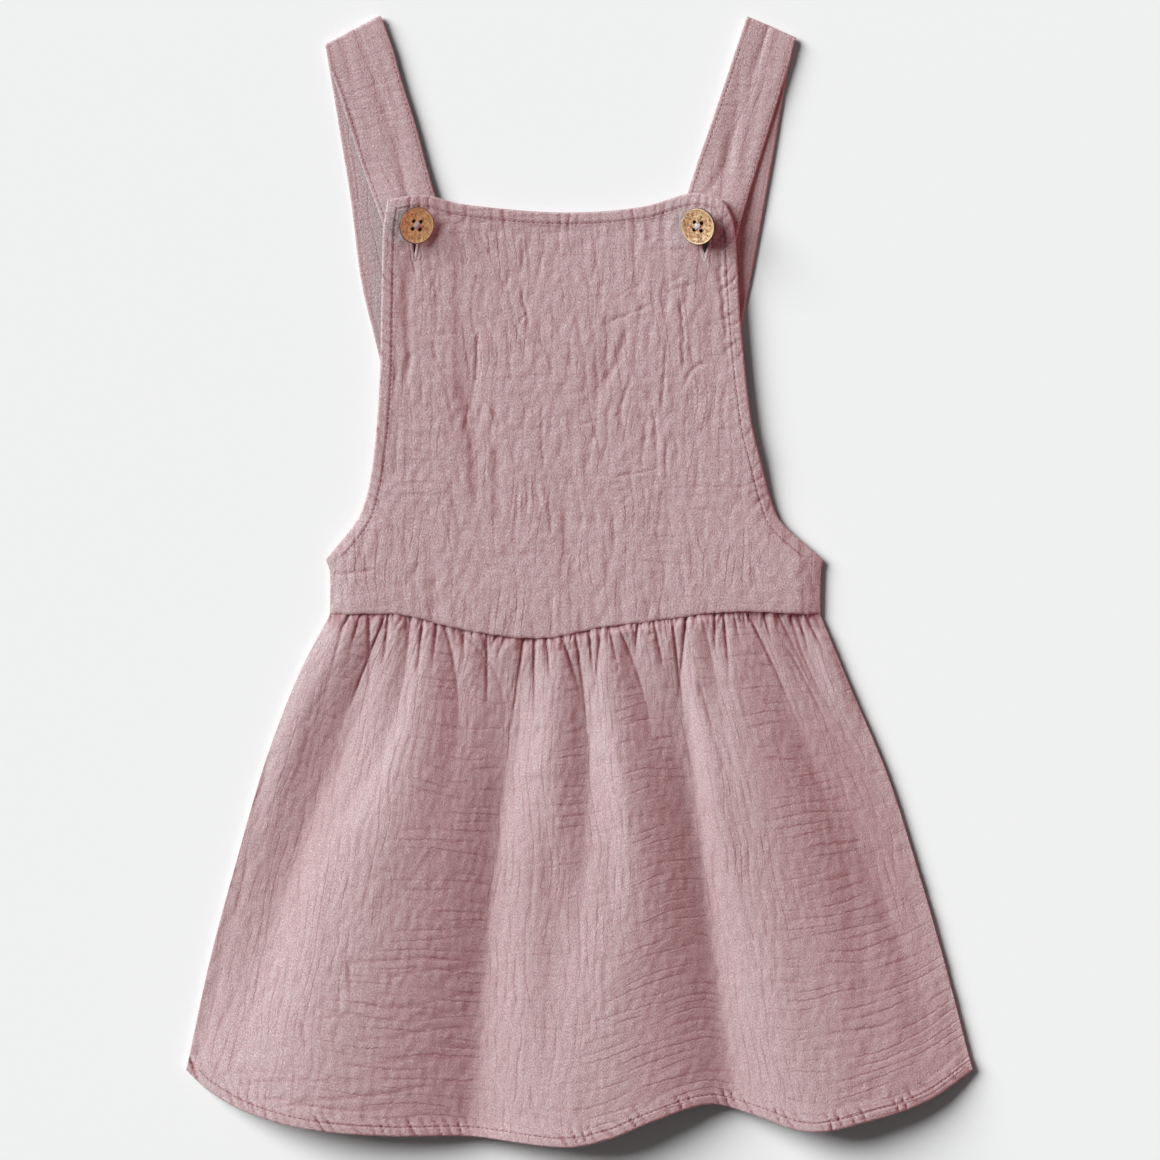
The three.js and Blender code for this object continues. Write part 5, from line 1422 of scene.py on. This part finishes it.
# %% Buttonholes
BUTTONHOLES = {
    "left": dict(x=-88.9, low=176, high=199, wide=2, tip=172.4, pointed=0.45, cotton=WORN_COTTON),
    "right": dict(x=67.6, low=176, high=199, wide=4, tip=171.8, pointed=1, cotton=PALE_COTTON),
}
SATIN_STITCH, SATIN_STEP, SATIN_CLOSING = (1.5, 0.6, 0.5), 0.5, 2.8


def slit_half(hole, y):
    """Half the width of the open slit at a height."""
    share = np.clip((y - hole["low"]) / (hole["high"] - hole["low"]), 0, 1)
    return hole["wide"] / 2 * (4 * share * (1 - share)) ** 0.8


def cut_slits(piece):
    """Cut both buttonholes: a round bar for each, pressed to the slit's pointed outline."""
    bm = bmesh.new()
    for hole in BUTTONHOLES.values():
        middle, half = (hole["low"] + hole["high"]) / 2, (hole["high"] - hole["low"]) / 2
        place = Matrix.Translation((hole["x"], middle, 10))
        bar = bmesh.ops.create_cone(bm, cap_ends=True, segments=40, radius1=half, radius2=half, depth=30,
                                    matrix=place)
        for vert in bar["verts"]:
            sign = 1 if vert.co.x > hole["x"] else -1
            vert.co.x = hole["x"] + sign * slit_half(hole, vert.co.y)
    bmesh.ops.remove_doubles(bm, verts=list(bm.verts), dist=1e-3)
    cutter = finish_piece("slit_cutter", bm, SEAM_COTTON)
    uncut, bars = piece.data, cutter.data
    piece.data = cut_away(piece, cutter)
    bpy.data.objects.remove(cutter)
    for mesh in (uncut, bars):
        bpy.data.meshes.remove(mesh)


before = len(front_bodice.data.polygons)
surface = BVHTree.FromObject(front_bodice, bpy.context.evaluated_depsgraph_get())
cut_slits(front_bodice)
print("buttonholes cut:", before, "faces before and", len(front_bodice.data.polygons), "after")


def on_surface(tree, x, y, below=False):
    """The point and normal of a surface straight under a place, or straight over it."""
    start, way = Vector((x, y, 60)), Vector((0, 0, -1))
    if below:
        start, way = Vector((x, y, -50)), Vector((0, 0, 1))
    hit, normal = tree.ray_cast(start * MM, way)[:2]
    if hit is None:
        return None, None
    return hit / MM, normal if normal.dot(way) < 0 else -normal


for side, hole in BUTTONHOLES.items():
    bm = bmesh.new()
    for y in np.arange(hole["tip"], hole["high"], SATIN_STEP):
        rise = np.clip((y - hole["tip"]) / SATIN_CLOSING, 0, 1)
        spread = slit_half(hole, y) + rise ** hole["pointed"]
        for sign in (-1, 1):
            hit, normal = on_surface(surface, hole["x"] + sign * spread, y)
            if hit is not None:
                along = Vector((1, -0.25 * sign, 0)).normalized()
                thread_grain(bm, hit + normal * 0.08, along, normal, SATIN_STITCH)
    thread_pieces.append(finish_piece(f"buttonhole_{side}_stitches", bm, hole["cotton"]))
print(len(thread_pieces), "pieces of thread with the buttonholes' stitches")

# %% [markdown]
# ## Rows of stitching
# A lockstitch shows as a row of short grains, each one pulled into the cloth at both ends. They are
# laid along each hem and strap edge, dropped onto the cloth by a ray from above, so they follow every
# pucker. A curve with an array would slide off the folds. A row that runs off its cloth stops there.

# %% Stitch rows
STITCH_LENGTH, STITCH_PITCH, STITCH_WIDE, STITCH_HIGH = 1.6, 2.6, 0.5, 0.4
LARGEST_JUMP = 1.5


def stitch_row(name, path, piece, cotton=SEAM_COTTON, below=False):
    """Lay stitches along a path of (x, y) points, on top of a piece or under it."""
    surface = BVHTree.FromObject(piece, bpy.context.evaluated_depsgraph_get())
    path = np.array(path, float)
    travelled = np.concatenate([[0], np.cumsum(np.linalg.norm(np.diff(path, axis=0), axis=1))])
    bm = bmesh.new()
    size = (STITCH_LENGTH, STITCH_WIDE, STITCH_HIGH)
    for s in np.arange(STITCH_PITCH / 2, travelled[-1] - STITCH_LENGTH / 2, STITCH_PITCH):
        (x, y), (x2, y2) = ([np.interp(t, travelled, path[:, k]) for k in (0, 1)] for t in (s, s + 0.4))
        hit, normal = on_surface(surface, x, y, below)
        ahead = on_surface(surface, x2, y2, below)[0]
        if hit is not None and ahead is not None and (ahead - hit).length < LARGEST_JUMP:
            thread_grain(bm, hit + normal * 0.05, (ahead - hit).normalized(), normal, size)
    return finish_piece(name, bm, cotton)


def inset_path(points, inset):
    """A path moved sideways by inset, to the left of its direction."""
    points = np.array(points, float)
    ahead = np.gradient(points, axis=0)
    ahead = ahead / np.linalg.norm(ahead, axis=1)[:, None]
    return points + inset * np.column_stack([-ahead[:, 1], ahead[:, 0]])


def beside_edge(x, y, inset):
    return inset_path(np.column_stack([x, y]), inset)


across_neck = np.linspace(-97, 73, 200)
down_side = np.linspace(196, ARMHOLE_Y + 5, 200)
across_hem = np.linspace(-209, 209, 400)
neck_in, armhole_in, hem_in = (band - STITCH_INSET for band in (NECK_BAND, ARMHOLE_BAND, SKIRT_BAND))
SEAMS = {
    "neckline": dict(
        path=beside_edge(across_neck, neckline(across_neck), -neck_in), piece=front_bodice),
    "armhole_left": dict(
        path=beside_edge(bib_left(down_side), down_side, armhole_in), piece=front_bodice),
    "armhole_right": dict(
        path=beside_edge(bib_right(down_side), down_side, -armhole_in), piece=front_bodice),
    "front_hem": dict(
        path=beside_edge(across_hem, front_hem(across_hem), hem_in), piece=front_skirt),
    "back_hem": dict(
        path=beside_edge(across_hem, back_hem(across_hem), hem_in), piece=back_skirt, below=True),
}
for side, strap in STRAPS.items():
    for edge, inwards in (("outer", strap["side"]), ("inner", -strap["side"])):
        marks = spline(strap[f"front_{edge}"], 80)
        SEAMS[f"strap_{side}_{edge}"] = dict(
            path=inset_path(marks, inwards * STRAP_STITCH), piece=strap_pieces[side], cotton=STRAP_COTTON)
seam_pieces = {name: stitch_row(f"{name}_stitches", **seam) for name, seam in SEAMS.items()}
print("stitch faces:", {name: len(piece.data.polygons) for name, piece in seam_pieces.items()})

# %% [markdown]
# ## Light, floor and camera
# The dress is lit from the upper left by one large soft light, with a pale surround that fills the
# shadows. Thin pink cloth also lets light through and throws it from fold to fold, which makes its
# shaded sides redder. Working that out in full would be slow, so a weak pink light from the right
# stands for it. It leaves the table alone, which would turn pink too. The camera looks straight down
# from far above, with a long lens, so the dress keeps its flat proportions.

# %% Floor
TABLE_HALF, TABLE_DROP = 3, 0.0006
floor_bm = bmesh.new()
bmesh.ops.create_grid(floor_bm, x_segments=1, y_segments=1, size=TABLE_HALF)
floor_mesh = mesh_from("floor", floor_bm)
floor_mesh.transform(Matrix.Translation((0, 0, -TABLE_DROP)))
floor_paint = new_material("pale_table", {"Base Color": (0.97, 0.94, 0.94, 1), "Roughness": 0.9})[0]
floor = add_object("floor", floor_mesh, floor_paint)
print("the table is", 2 * TABLE_HALF, "m wide")

# %% Light and camera
MM_PER_PIXEL = 0.54
PHOTO_SIDE = 1160
CAMERA_HEIGHT = 4.0

def add_sun(name, direction, energy, colour, spread):
    """A soft light from far away, shining along a direction. Its spread is in degrees."""
    sun = bpy.data.lights.new(name, "SUN")
    sun.energy, sun.color, sun.angle = energy, colour, math.radians(spread)
    lamp = bpy.data.objects.new(name, sun)
    lamp.rotation_euler = Vector(direction).to_track_quat("-Z", "Y").to_euler()
    bpy.context.scene.collection.objects.link(lamp)
    return lamp


add_sun("key", (0.75, -0.45, -0.49), 5.45, (0.96, 1, 1), 38)
bounce_lamp = add_sun("pink_bounce", (-0.9, 0.12, -0.4), 1.35, (1, 0.2, 0.22), 70)
table_apart = bpy.data.collections.new("table_apart")
table_apart.objects.link(floor)
table_apart.collection_objects[0].light_linking.link_state = "EXCLUDE"
bounce_lamp.light_linking.receiver_collection = table_apart

world = bpy.data.worlds.new("surround")
world.use_nodes = True
world.node_tree.nodes["Background"].inputs["Color"].default_value = (1, 1, 1, 1)
world.node_tree.nodes["Background"].inputs["Strength"].default_value = 0.08
bpy.context.scene.world = world

camera_data = bpy.data.cameras.new("camera")
camera_data.sensor_width = 36
camera_data.lens = camera_data.sensor_width * CAMERA_HEIGHT / (PHOTO_SIDE * MM_PER_PIXEL * MM)
camera = bpy.data.objects.new("camera", camera_data)
camera.location = (0.5 * MM_PER_PIXEL * MM, 0, CAMERA_HEIGHT)
bpy.context.scene.collection.objects.link(camera)
bpy.context.scene.camera = camera
bpy.context.scene.view_settings.view_transform = "Standard"
print("lens", round(camera_data.lens), "mm at", CAMERA_HEIGHT, "m")

# %% [markdown]
# ## Handing the pieces over
# Each cloth panel and button takes the place of its solid, and the threads ride along with them.

PIECES = {
    front_skirt: ("front_skirt", "cloth"), front_bodice: ("front_bodice", "cloth"),
    back_skirt: ("back_skirt", "cloth"), back_bodice: ("back_bodice", "cloth"),
    strap_pieces["left"]: ("strap_left", "cloth"), strap_pieces["right"]: ("strap_right", "cloth"),
    button_pieces["left"]: ("button_left", "button"), button_pieces["right"]: ("button_right", "button"),
}
for piece, (node, slot) in PIECES.items():
    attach(piece, "root")
    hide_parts(node)

for piece in thread_pieces + list(seam_pieces.values()):
    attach(piece, "root")

front_thread = [p for p in thread_pieces if p.name.startswith("buttonhole")]
front_thread += [seam_pieces[name] for name in seam_pieces if name.startswith(("neck", "arm"))]
print(len(PIECES) + len(thread_pieces) + len(seam_pieces), "pieces declared")
